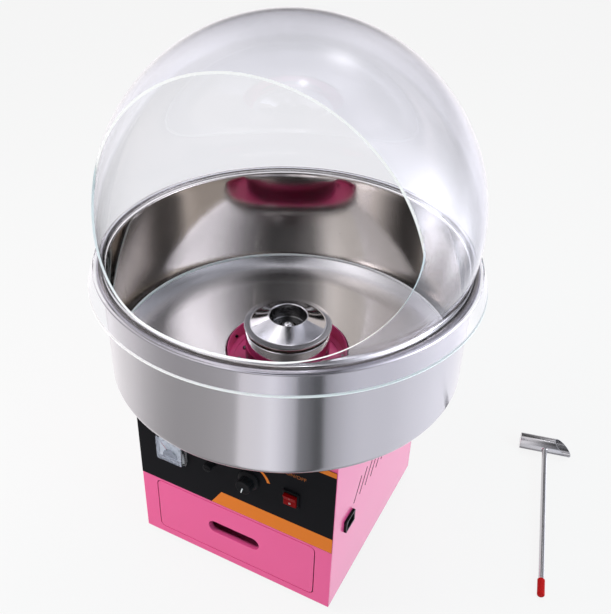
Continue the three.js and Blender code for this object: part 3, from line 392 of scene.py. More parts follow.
class Finishes:
    """Every finish of the machine."""

    ENAMEL = Finish("pink_enamel", "pink_paint", (0.87, 0.095, 0.3), 0.3, grain=700.0, depth=0.000006,
                    spread=0.05, tone=0.03, coat=0.5, coat_roughness=0.12)
    FILM = Finish("black_film", "panel_print", (0.0065, 0.0065, 0.008), 0.42, grain=2600.0, depth=0.000004,
                  spread=0.06, tone=0.2, dust=0.06, specular=0.06)
    ORANGE = Finish("orange_print", "panel_print", (0.76, 0.19, 0.012), 0.45, grain=2600.0, depth=0.000003,
                    tone=0.05, specular=0.2)
    FADED_PRINT = Finish("faded_print", "panel_print", (0.34, 0.1, 0.02), 0.5, grain=2600.0, tone=0.1, specular=0.1)
    WHITE_PRINT = Finish("white_print", "panel_print", (0.78, 0.79, 0.8), 0.45, grain=2600.0, tone=0.04)
    SPUN_OUT = Finish("spun_steel_outside", "bowl_steel", (0.62, 0.605, 0.62), 0.13, 1.0, 420.0, 0.000001,
                      0.04, 0.03, anisotropy=0.95, effect=Effect.RINGS)
    SPUN_IN = Finish("spun_steel_inside", "bowl_steel", (0.64, 0.6, 0.56), 0.07, 1.0, 420.0, 0.0000008,
                     0.02, 0.03, anisotropy=0.75, effect=Effect.RINGS)
    SPUN_FLOOR = Finish("spun_steel_floor", "bowl_steel", (0.66, 0.66, 0.66), 0.14, 1.0, 1300.0, 0.0000004,
                        0.02, 0.02, anisotropy=0.95, effect=Effect.RINGS)
    # Pale, nearly matt ring at the bowl's crease: a dressed weld whose pale tone is partly a painted highlight along
    # the crease.
    WELD_HIGHLIGHT = Finish("dressed_weld_painted_highlight", "bowl_steel", (0.9, 0.9, 0.91), 0.5, 0.15, 900.0, 0.000003, 0.05, 0.04)
    POLISHED = Finish("polished_steel", "polished_steel", (0.7, 0.695, 0.7), 0.1, 1.0, 500.0, 0.000002,
                      0.03, 0.04, anisotropy=0.6, effect=Effect.RINGS)
    # Dark steel for a stud and the sugar mouth's liner, and painted shade on the pan's skirt where it hangs inside the
    # turret.
    DARK_STEEL_AND_SHADE = Finish("dark_steel_and_painted_shade", "polished_steel", (0.2, 0.2, 0.2), 0.22, 1.0, 500.0, 0.000002, 0.05, 0.05,
                        effect=Effect.RINGS)
    SATIN_NUT = Finish("satin_nut_steel", "polished_steel", (0.85, 0.85, 0.85), 0.2, 1.0, 500.0, 0.000003,
                       0.05, 0.05, effect=Effect.RINGS)
    PLAIN_POLISHED = Finish("polished_rod_steel", "polished_steel", (0.55, 0.55, 0.56), 0.2, 1.0, 700.0,
                            0.000004, 0.06, 0.06, effect=Effect.BRUSHED)
    ZINC = Finish("plated_sheet", "zinc_steel", (0.5, 0.51, 0.53), 0.4, 1.0, 120.0, 0.00001, 0.2, 0.16)
    CLEAR_DOME = ClearFinish("clear_dome", "dome_plastic", (0.94, 0.94, 0.98), 0.0, depth=0.00012)
    # Milky white for the dome's cut opening and the skirt's lowest edge: partly a frosted cut edge, partly a painted
    # highlight for the light these rims refract.
    DOME_EDGE_HIGHLIGHT = MilkyFinish("cut_dome_edge_painted_highlight", "dome_plastic", (0.97, 0.95, 0.94), 0.3, grain=1800.0, tone=0.03,
                            clear=0.06)
    METER_FILM = SpeckledFilm("speckled_window_film", "clear_plastic", (0.66, 0.72, 0.88), 0.35, grain=1500.0,
                              tone=0.05,
                              clear=0.84)
    CLEAR_SKIRT = ClearFinish("clear_skirt", "dome_plastic", (0.97, 0.97, 0.99), 0.0, depth=0.00005, index=1.12)
    CLEAR = ClearFinish("clear_window", "clear_plastic", (0.95, 0.96, 0.97), 0.02, depth=0.00003)
    BLACK = Finish("black_moulding", "black_plastic", (0.007, 0.007, 0.008), 0.36, grain=2200.0,
                   depth=0.000008, spread=0.1, tone=0.2, dust=0.05, specular=0.08)
    RED = Finish("red_button", "red_plastic", (0.2, 0.002, 0.003), 0.3, grain=1500.0, depth=0.000004,
                 tone=0.08, specular=0.05)
    NEEDLE_RED = Finish("needle_red", "red_plastic", (0.5, 0.01, 0.01), 0.35, grain=3000.0)
    RED_RUBBER = Finish("red_dipped_rubber", "red_rubber", (0.5, 0.01, 0.01), 0.45, grain=1300.0,
                        depth=0.00002, tone=0.1, specular=0.08)
    RUBBER = Finish("black_rubber", "foot_rubber", (0.02, 0.02, 0.02), 0.75, grain=1500.0,
                    depth=0.00003, tone=0.25, dust=0.3, specular=0.3)
    CARD = SpeckledFilm("dial_card", "dial_card", (0.8, 0.85, 0.97), 0.55, grain=4000.0, depth=0.000006, tone=0.03,
                        clear=0.0)
    BRASS = Finish("ring_brass", "ring_brass", (0.72, 0.5, 0.2), 0.24, 1.0, 900.0, 0.000006, 0.1, 0.1,
                   effect=Effect.RINGS)
    IRON = Finish("lacquered_iron", "motor_iron", (0.16, 0.165, 0.17), 0.5, 0.8, 400.0, 0.00003, 0.15, 0.2)
    HEATER = HeatTint("heated_alloy", "heater_alloy", (0.4, 0.37, 0.34), 0.45, 1.0, 800.0, 0.00001, 0.15, 0.15)
    CARBON = Finish("carbon", "carbon", (0.03, 0.03, 0.032), 0.6, 0.2, 2400.0, 0.00002, 0.1, 0.2)
    BOARD = Finish("circuit_board", "circuit_board", (0.02, 0.16, 0.06), 0.35, grain=500.0, depth=0.00003,
                   tone=0.3, coat=0.4)


class Draft:
    """A mesh in millimetres that is being built for one piece."""

    def __init__(self, *finishes: Finish) -> None:
        """Starts an empty mesh with its finishes."""
        self.bm = bmesh.new()
        self.finishes = finishes

    def _close(self, faces: Sequence[bmesh.types.BMFace], finish: int, matrix: Matrix | None) -> "Draft":
        """Gives new faces their finish and place."""
        corners = list({v for f in faces for v in f.verts})
        for face in faces:
            face.material_index = finish
        if matrix is not None:
            bmesh.ops.transform(self.bm, matrix=matrix, verts=corners)
        return self

    def move(self, matrix: Matrix) -> "Draft":
        """Moves everything drawn so far."""
        bmesh.ops.transform(self.bm, matrix=matrix, verts=self.bm.verts)
        return self

    def revolve(self, profile: Profile, facets: int = 96, finish: int = 0, matrix: Matrix | None = None,
                swell: Callable[[float, float, float], float] | None = None,
                pick: Callable[[float, float], int] | None = None) -> "Draft":
        """Turns a profile of radius and height round Z.

        Args:
            profile: Points; the last meets the first, or both ends are on the axis.
            facets: Faces all round.
            finish: Number of the finish.
            matrix: Where the result goes.
            swell: Radius from angle, radius and height.
            pick: Finish from the radius and height at a face's middle.

        Returns:
            The draft.
        """
        points = list(profile)
        ring = points[0] == points[-1]
        if ring:
            points.pop()
        rows = []
        for radius, height in points:
            if radius < 1e-6:
                rows.append([self.bm.verts.new((0, 0, height))] * facets)
                continue
            row = []
            for i in range(facets):
                angle = math.tau * i / facets
                r = swell(angle, radius, height) if swell else radius
                row.append(self.bm.verts.new((r * math.cos(angle), r * math.sin(angle), height)))
            rows.append(row)
        faces = []
        for k in range(len(points) if ring else len(points) - 1):
            one, two = rows[k], rows[(k + 1) % len(points)]
            middle = [(points[k][j] + points[(k + 1) % len(points)][j]) / 2 for j in (0, 1)]
            for i in range(facets):
                j = (i + 1) % facets
                corners = list(dict.fromkeys((one[i], one[j], two[j], two[i])))
                if len(corners) > 2:
                    face = self.bm.faces.new(corners)
                    face.material_index = pick(*middle) if pick else finish
                    faces.append(face)
        kept = [f.material_index for f in faces]
        self._close(faces, finish, matrix)
        for face, index in zip(faces, kept):
            face.material_index = index
        return self

    def prism(self, outline: Profile, low: float, high: float, finish: int = 0,
              matrix: Matrix | None = None) -> "Draft":
        """A flat outline given a thickness along Z.

        Args:
            outline: Corners in X and Y.
            low: Lower face.
            high: Upper face.
            finish: Number of the finish.
            matrix: Where the result goes.

        Returns:
            The draft.
        """
        base = [self.bm.verts.new((x, y, low)) for x, y in outline]
        top = [self.bm.verts.new((x, y, high)) for x, y in outline]
        faces = [self.bm.faces.new(base[::-1]), self.bm.faces.new(top)]
        for i in range(len(base)):
            j = (i + 1) % len(base)
            faces.append(self.bm.faces.new((base[i], base[j], top[j], top[i])))
        return self._close(faces, finish, matrix)

    def loft(self, sections: Sequence[Sequence[tuple[float, float, float]]], finish: int = 0,
             matrix: Matrix | None = None) -> "Draft":
        """A solid through closed loops of equal length, with its ends capped.

        Args:
            sections: The loops, each a list of points.
            finish: Number of the finish.
            matrix: Where the result goes.

        Returns:
            The draft.
        """
        rows = [[self.bm.verts.new(point) for point in loop] for loop in sections]
        faces = [self.bm.faces.new(rows[0][::-1]), self.bm.faces.new(rows[-1])]
        for one, two in zip(rows, rows[1:]):
            for i in range(len(one)):
                j = (i + 1) % len(one)
                faces.append(self.bm.faces.new((one[i], one[j], two[j], two[i])))
        return self._close(faces, finish, matrix)

    def strip(self, one: Profile, two: Profile, low: float, high: float, finish: int = 0,
              matrix: Matrix | None = None) -> "Draft":
        """A bent band between two lines of equal length, such as a printed arc.

        Args:
            one: First line.
            two: Second line.
            low: Lower face.
            high: Upper face.
            finish: Number of the finish.
            matrix: Where the result goes.

        Returns:
            The draft.
        """
        for i in range(len(one) - 1):
            self.prism((one[i], one[i + 1], two[i + 1], two[i]), low, high, finish, matrix)
        return self

    def block(self, low: Sequence[float], high: Sequence[float], finish: int = 0,
              matrix: Matrix | None = None) -> "Draft":
        """A block between two corners; it is always bevelled or part of a finer piece."""
        corners = ((low[0], low[1]), (high[0], low[1]), (high[0], high[1]), (low[0], high[1]))
        return self.prism(corners, low[2], high[2], finish, matrix)

    def words(self, text: str, height: float, matrix: Matrix, finish: int = 0, thick: float = 0.1) -> "Draft":
        """Plain generic lettering, such as a number on a dial.

        Args:
            text: The letters.
            height: Height of a capital.
            matrix: Where the middle goes.
            finish: Number of the finish.
            thick: How far it stands proud.

        Returns:
            The draft.
        """
        curve = bpy.data.curves.new("words", "FONT")
        curve.body, curve.size, curve.extrude, curve.resolution_u = text, height * 1.38, thick / 2, 3
        curve.align_x, curve.align_y = "CENTER", "CENTER"
        holder = Workshop.place("words", curve)
        mesh = Workshop.evaluated(holder)
        self.absorb(mesh, matrix @ Matrix.Translation((0, 0, thick / 2)), finish)
        Workshop.discard(holder)
        return self

    def absorb(self, mesh: bpy.types.Mesh, matrix: Matrix | None = None, finish: int | None = 0) -> "Draft":
        """Adds a ready mesh.

        Args:
            mesh: The mesh, in millimetres.
            matrix: Where it goes.
            finish: Number of the finish, or None to keep the mesh's own.

        Returns:
            The draft.
        """
        before = set(self.bm.faces)
        self.bm.from_mesh(mesh)
        new = [f for f in self.bm.faces if f not in before]
        if finish is None:
            if matrix is not None:
                bmesh.ops.transform(self.bm, matrix=matrix, verts=list({v for f in new for v in f.verts}))
            return self
        return self._close(new, finish, matrix)

    def copy_node(self, name: str) -> "Draft":
        """Adds a merged copy of a solid of the frame."""
        self.bm.from_mesh(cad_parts[name].data)
        bmesh.ops.scale(self.bm, vec=(1000, 1000, 1000), verts=self.bm.verts)
        for face in self.bm.faces:
            face.material_index = 0
        bmesh.ops.remove_doubles(self.bm, verts=self.bm.verts, dist=0.001)
        flat = {"use_dissolve_boundaries": False, "verts": self.bm.verts, "edges": self.bm.edges}
        bmesh.ops.dissolve_limit(self.bm, angle_limit=math.radians(0.5), **flat)
        return self

    def bevel(self, width: float, angle: float = 30.0, segments: int = 2) -> "Draft":
        """Rounds every edge that is sharper than an angle.

        Args:
            width: Width of the rounding.
            angle: Least angle in degrees.
            segments: Faces across it.

        Returns:
            The draft.
        """
        limit = math.radians(angle)
        edges = [e for e in self.bm.edges if len(e.link_faces) == 2 and e.calc_face_angle(0.0) > limit]
        bmesh.ops.bevel(self.bm, geom=edges, offset=width, segments=segments, profile=0.5, affect="EDGES",
                        clamp_overlap=True, material=-1)
        return self

    def cut(self, tool: "Draft") -> "Draft":
        """Takes another draft's room away; the cut faces keep that draft's finish."""
        body, blade = self._holder("cut_body"), tool._holder("cut_blade")
        knife = body.modifiers.new("cut", "BOOLEAN")
        knife.object, knife.operation, knife.solver, knife.material_mode = blade, "DIFFERENCE", "EXACT", "TRANSFER"
        mesh = Workshop.evaluated(body)
        self.bm.clear()
        self.bm.from_mesh(mesh)
        Workshop.discard(body)
        Workshop.discard(blade)
        return self

    def _holder(self, name: str) -> bpy.types.Object:
        """A passing object with this mesh, its faces outward."""
        bmesh.ops.recalc_face_normals(self.bm, faces=self.bm.faces)
        mesh = bpy.data.meshes.new(name)
        self.bm.to_mesh(mesh)
        for finish in self.finishes:
            mesh.materials.append(finish.material())
        return Workshop.place(name, mesh)

    def finish(self, name: str, body: Body, replaces: Sequence[str] = (), angle: float = 35.0,
               broad: float = 1e9, merge: bool = True) -> bpy.types.Object:
        """Writes the mesh as a piece.

        Args:
            name: The piece's name.
            body: What it rides on.
            replaces: Nodes that it stands for.
            angle: Bends under this many degrees are shaded smooth.
            broad: Faces wider than this many millimetres are shaded flat.
            merge: Whether doubled corners are joined.

        Returns:
            The piece.
        """
        if merge:
            bmesh.ops.remove_doubles(self.bm, verts=self.bm.verts, dist=0.002)
        bmesh.ops.recalc_face_normals(self.bm, faces=self.bm.faces)
        self._shade(math.radians(angle), broad)
        bmesh.ops.scale(self.bm, vec=(MM, MM, MM), verts=self.bm.verts)
        mesh = bpy.data.meshes.new(name)
        self.bm.to_mesh(mesh)
        self.bm.free()
        for finish in self.finishes:
            mesh.materials.append(finish.material())
        piece = Workshop.place(name, mesh)
        if replaces:
            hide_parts(*replaces)
        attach(piece, body.value)
        LOG.info("%s: %d faces on %s", name, len(mesh.polygons), body.value)
        return piece

    def _shade(self, angle: float, broad: float) -> None:
        """Marks which edges are shaded smooth."""
        for face in self.bm.faces:
            face.smooth = True
        for edge in self.bm.edges:
            if len(edge.link_faces) != 2:
                edge.smooth = False
                continue
            wide = max(f.calc_area() / max(e.calc_length() for e in f.edges) for f in edge.link_faces) > broad
            edge.smooth = edge.calc_face_angle(0.0) < (math.radians(12) if wide else angle)


class Workshop:
    """Passing objects and the geometry trees that repeat an item."""

    @staticmethod
    def evaluated(holder: bpy.types.Object) -> bpy.types.Mesh:
        """The mesh of an object with its modifiers applied."""
        seen = holder.evaluated_get(bpy.context.evaluated_depsgraph_get())
        return bpy.data.meshes.new_from_object(seen)

    @staticmethod
    def place(name: str, data: bpy.types.ID) -> bpy.types.Object:
        """An object with this data, linked to the scene."""
        made = bpy.data.objects.new(name, data)
        bpy.context.scene.collection.objects.link(made)
        return made

    @staticmethod
    def discard(holder: bpy.types.Object) -> None:
        """Removes a passing object."""
        bpy.data.objects.remove(holder)

    @staticmethod
    def _tree(name: str, vectors: Sequence[str], floats: Sequence[str]) -> bpy.types.NodeTree | None:
        """A new geometry tree with its named inputs, or None if it is there already."""
        if bpy.data.node_groups.get(name):
            return None
        group = bpy.data.node_groups.new(name, "GeometryNodeTree")
        group.interface.new_socket("Geometry", in_out="OUTPUT", socket_type="NodeSocketGeometry")
        kinds = {"Item": "Object", "Count": "Int", "Finish": "Material"}
        kinds |= dict.fromkeys(vectors, "Vector") | dict.fromkeys(floats, "Float")
        for label, kind in kinds.items():
            group.interface.new_socket(label, in_out="INPUT", socket_type=f"NodeSocket{kind}")
        return group

    @classmethod
    def _ring_tree(cls) -> bpy.types.NodeTree:
        """The tree that sets items on an arc."""
        group = cls._tree("items_on_a_ring", (), ("Radius", "Start", "Sweep"))
        if group is None:
            return bpy.data.node_groups["items_on_a_ring"]
        tree = Tree(group)
        ins = tree.add("NodeGroupInput").outputs
        points = tree.add("GeometryNodePoints", {"Count": ins["Count"]})
        share = tree.sum("DIVIDE", tree.add("GeometryNodeInputIndex").outputs[0], ins["Count"])
        angle = tree.sum("MULTIPLY_ADD", share, ins["Sweep"], ins["Start"])
        x = tree.sum("MULTIPLY", tree.sum("COSINE", angle), ins["Radius"])
        y = tree.sum("MULTIPLY", tree.sum("SINE", angle), ins["Radius"])
        spot = tree.add("ShaderNodeCombineXYZ", {0: x, 1: y})
        turn = tree.add("ShaderNodeCombineXYZ", {2: angle})
        moved = tree.add("GeometryNodeSetPosition", {"Geometry": points.outputs[0], "Position": spot.outputs[0]})
        cls._end(tree, ins, moved.outputs[0], turn.outputs[0])
        return group

    @classmethod
    def _row_tree(cls) -> bpy.types.NodeTree:
        """The tree that sets items on a straight row."""
        group = cls._tree("items_in_a_row", ("Start", "Step", "Turn"), ())
        if group is None:
            return bpy.data.node_groups["items_in_a_row"]
        tree = Tree(group)
        ins = tree.add("NodeGroupInput").outputs
        line = {"Count": ins["Count"], "Start Location": ins["Start"], "Offset": ins["Step"]}
        row = tree.add("GeometryNodeMeshLine", line, mode="OFFSET")
        cls._end(tree, ins, row.outputs[0], ins["Turn"])
        return group

    @staticmethod
    def _end(tree: Tree, ins: bpy.types.NodeOutputs, points: bpy.types.NodeSocket, turn: bpy.types.NodeSocket) -> None:
        """Instances the item, makes it real and gives it its finish."""
        item = tree.add("GeometryNodeObjectInfo", {"Object": ins["Item"]})
        placed = {"Points": points, "Instance": item.outputs["Geometry"], "Rotation": turn}
        many = tree.add("GeometryNodeInstanceOnPoints", placed)
        real = tree.add("GeometryNodeRealizeInstances", {0: many.outputs[0]})
        dressed = tree.add("GeometryNodeSetMaterial", {"Geometry": real.outputs[0], "Material": ins["Finish"]})
        tree.feed(tree.add("NodeGroupOutput").inputs[0], dressed.outputs[0])

    @classmethod
    def _repeat(cls, group: bpy.types.NodeTree, item: Draft, count: int, sizes: dict) -> bpy.types.Mesh:
        """Runs a tree on an item and gives the plain mesh."""
        model = item._holder("item")
        holder = cls.place("repeat", bpy.data.meshes.new("repeat"))
        modifier = holder.modifiers.new("repeat", "NODES")
        modifier.node_group = group
        values = {"Item": model, "Count": count, "Finish": item.finishes[0].material(), **sizes}
        for socket in group.interface.items_tree:
            if socket.in_out == "INPUT":
                modifier[socket.identifier] = values[socket.name]
        mesh = cls.evaluated(holder)
        cls.discard(holder)
        cls.discard(model)
        return mesh

    @classmethod
    def ring(cls, item: Draft, count: int, radius: float, start: float = 0.0, sweep: float = 360.0) -> bpy.types.Mesh:
        """Items set on an arc round Z, each turned with it.

        Args:
            item: The item, drawn at the origin.
            count: How many.
            radius: Radius in millimetres.
            start: First angle in degrees.
            sweep: Angle that the whole row covers.

        Returns:
            The plain mesh.
        """
        sizes = {"Radius": radius, "Start": math.radians(start), "Sweep": math.radians(sweep)}
        return cls._repeat(cls._ring_tree(), item, count, sizes)

    @classmethod
    def row(cls, item: Draft, count: int, start: Sequence[float], step: Sequence[float],
            turn: Sequence[float] = (0, 0, 0)) -> bpy.types.Mesh:
        """Items set on a straight row.

        Args:
            item: The item, drawn at the origin.
            count: How many.
            start: Place of the first.
            step: From one to the next.
            turn: Turn of each about X, Y and Z in degrees.

        Returns:
            The plain mesh.
        """
        sizes = {"Start": list(start), "Step": list(step), "Turn": [math.radians(t) for t in turn]}
        return cls._repeat(cls._row_tree(), item, count, sizes)


def arc(cx: float, cy: float, rx: float, ry: float, start: float, end: float, steps: int) -> list[tuple[float, float]]:
    """Points on an ellipse's arc.

    Args:
        cx: Middle across.
        cy: Middle up.
        rx: Radius across.
        ry: Radius up.
        start: First angle in degrees.
        end: Last angle.
        steps: How many steps.

    Returns:
        The points.
    """
    turns = [math.radians(start + (end - start) * i / steps) for i in range(steps + 1)]
    return [(cx + rx * math.cos(t), cy + ry * math.sin(t)) for t in turns]


def rounded(width: float, height: float, corner: float, cx: float = 0.0, cy: float = 0.0,
            steps: int = 5) -> list[tuple[float, float]]:
    """Corners of a rectangle with round corners.

    Args:
        width: Across.
        height: Up.
        corner: Radius of the corners.
        cx: Middle across.
        cy: Middle up.
        steps: Steps in each corner.

    Returns:
        The points.
    """
    x, y = width / 2 - corner, height / 2 - corner
    points = []
    for k, (sx, sy) in enumerate(((1, -1), (1, 1), (-1, 1), (-1, -1))):
        points += arc(cx + sx * x, cy + sy * y, corner, corner, k * 90 - 90, k * 90, steps)
    return points


def dress(finish: Finish, *nodes: str) -> None:
    """Gives solids of the frame a finish."""
    for name in nodes:
        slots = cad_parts[name].data.materials
        slots.clear()
        slots.append(finish.material())
        LOG.info("%s: %s", name, finish.name)


def refine(finish: Finish, body: Body, width: float, *nodes: str) -> None:
    """Replaces solids by copies with softened edges.

    Args:
        finish: Their finish.
        body: What they ride on.
        width: Width of the edge rounding.
        nodes: The nodes.
    """
    for name in nodes:
        Draft(finish).copy_node(name).bevel(width).finish(f"{name}_look", body, (name,), broad=4.0)


def screw_head(finish: Finish, radius: float = 3.2, height: float = 1.9) -> Draft:
    """A pan head screw with a cross recess, its underside at height 0.

    Args:
        finish: Its finish.
        radius: Radius of the head.
        height: Height of the head.

    Returns:
        The draft.
    """
    dome = arc(0, height * 0.35, radius, height * 0.65, 0, 88, 5)
    head = Draft(finish).revolve([(0, 0), (radius, 0), *dome, (0, height)], 18)
    for turn in (0, 90):
        spin = Matrix.Rotation(math.radians(turn), 4, "Z")
        low, high = (-radius * 0.55, -0.35 - turn * 1e-4, height * 0.45), (radius * 0.55, 0.35, height + 1)
        head.cut(Draft(finish).block(low, high, 0, spin))
    return head


@dataclass
class Cabinet:
    """The folded sheet cabinet, its printed film, vents, inlet, feet and screws."""

    half: float = 166.0
    film_front: float = -166.9
    band: tuple[float, float] = (132.9, 161.9)
    band_start: tuple[float, float] = (-36.7, -18.7)
    stripe: tuple[float, float] = (284.5, 293.8)
    foot: tuple[float, float, float] = (134.0, 14.0, 12.5)
    knob_at: tuple[float, float] = (29.5, 213.0)
    vents: tuple[float, float, float, int] = (-96.07, 167.42, 20.4, 9)
    vent_run: tuple[float, float] = (23.0, 37.0)
    vent_width: float = 3.6
    heat_arc: tuple[float, float, float, int] = (33.5, 16.0, 140.0, 48)
    ink: float = 0.06

    def build(self) -> None:
        """Makes every piece of the cabinet."""
        refine(Finishes.ENAMEL, Body.MACHINE, 0.45, "front_panel", "back_panel", "top_plate")
        self.sides()
        refine(Finishes.ZINC, Body.MACHINE, 0.4, "base_plate", "runner_left", "runner_right", "drawer_shelf")
        dress(Finishes.FILM, "control_overlay")
        self.print()
        self.feet()
        self.inlet()
        self.screws()

    def sides(self) -> None:
        """Side panels whose slanted vents have black walls: painted shade for the shadowed slots."""
        y, z, pitch, count = self.vents
        lean, height = self.vent_run
        half = self.vent_width / 2 / math.hypot(lean, height)
        flip = Matrix(((0, 0, 1, 0), (1, 0, 0, 0), (0, 1, 0, 0), (0, 0, 0, 1)))
        for name, x in (("left_panel", -self.half), ("right_panel", self.half)):
            panel = Draft(Finishes.ENAMEL, Finishes.BLACK).copy_node(name).bevel(0.45)
            # The cut slot walls take the black finish: painted shade standing in for the dark inside the vent slots.
            slots = Draft(Finishes.ENAMEL, Finishes.BLACK)
            for i in range(count):
                a, b = y + i * pitch, y + i * pitch + lean
                corners = ((a - half * height, z + half * lean), (a + half * height, z - half * lean),
                           (b + half * height, z + height - half * lean), (b - half * height, z + height + half * lean))
                slots.prism(corners, x - 4, x + 4, 1, flip)
            panel.cut(slots).finish(f"{name}_look", Body.MACHINE, (name,), broad=4.0)

    def print(self) -> None:
        """The plain orange bands, the heat arc and the switch's words."""
        right = self.half - 0.5
        front = Matrix.Translation((0, self.film_front, 0)) @ FRONT
        low, high = self.band
        bands = Draft(Finishes.ORANGE)
        base, tip = self.stripe
        for outline in (((self.band_start[0], low), (right, low), (right, high), (self.band_start[1], high)),
                        ((-right, base), (right, base), (right, tip), (-right, tip))):
            bands.prism(outline, 0, self.ink, 0, front)
        x, z = self.knob_at
        outer, inner = [], []
        radius, begin, sweep, steps = self.heat_arc
        for i in range(steps + 1):
            turn = math.radians(begin + sweep * i / steps)
            half = 0.25 + 2.25 * (1 - i / steps)
            for line, r in ((outer, radius + half), (inner, radius - half)):
                line.append((x + r * math.cos(turn), z + r * math.sin(turn)))
        bands.strip(inner, outer, 0, self.ink, 0, front)
        bands.finish("orange_print", Body.MACHINE)
        words = Draft(Finishes.FADED_PRINT).words("ON/OFF", 6.4, front @ Matrix.Translation((105, 257.5, 0)), 0,
                                                  self.ink)
        words.finish("switch_words", Body.MACHINE)

    def feet(self) -> None:
        """Four rubber feet with a rounded rim and a moulded groove."""
        place, top, low = self.foot
        profile = [(0, 0.6), (low - 3, 0.6), (low - 2.4, 0), (low - 0.8, 0),
                   *arc(low - 0.8, 0.8, 0.8, 0.8, -80, -10, 3),
                   (low + 0.6, 3.2), (low + 0.2, 3.7), (low + 0.8, 4.2), (top - 0.2, 6.9), (top - 0.9, 7.7),
                   (2.7, 7.7), (2.7, 13.5), (0, 13.5)]
        for side, x in (("left", -place), ("right", place)):
            for end, y in (("front", -place), ("back", place)):
                name = f"foot_{end}_{side}"
                at = Matrix.Translation((x, y, 0))
                Draft(Finishes.RUBBER).revolve(profile, 48, 0, at).finish(f"{name}_look", Body.MACHINE, (name,))

    def inlet(self) -> None:
        """The mains inlet with plated pins and two flange screws."""
        refine(Finishes.BLACK, Body.MACHINE, 0.5, "inlet_socket")
        pins = Draft(Finishes.PLAIN_POLISHED)
        for across, up in ((-1, -1), (0, 1), (1, -1)):
            y, z = -113 + across * 7, 149 + up * 3
            pins.block((155.6, y - 1.12, z - 2.12), (164.0, y + 1.12, z + 2.12))
        pins.bevel(0.3).finish("inlet_pins", Body.MACHINE)

    def screws(self) -> None:
        """Self-tapping screws down both sides of the back and in a row under its top edge."""
        rows = Draft(Finishes.ZINC)
        for x in (-157.0, 157.0):
            rows.absorb(Workshop.row(screw_head(Finishes.ZINC), 4, (x, self.half, 24), (0, 0, 86), (-90, 0, 0)))
        rows.absorb(Workshop.row(screw_head(Finishes.ZINC), 3, (-96, self.half, 300), (96, 0, 0), (-90, 0, 0)))
        rows.finish("back_screws", Body.MACHINE, merge=False)


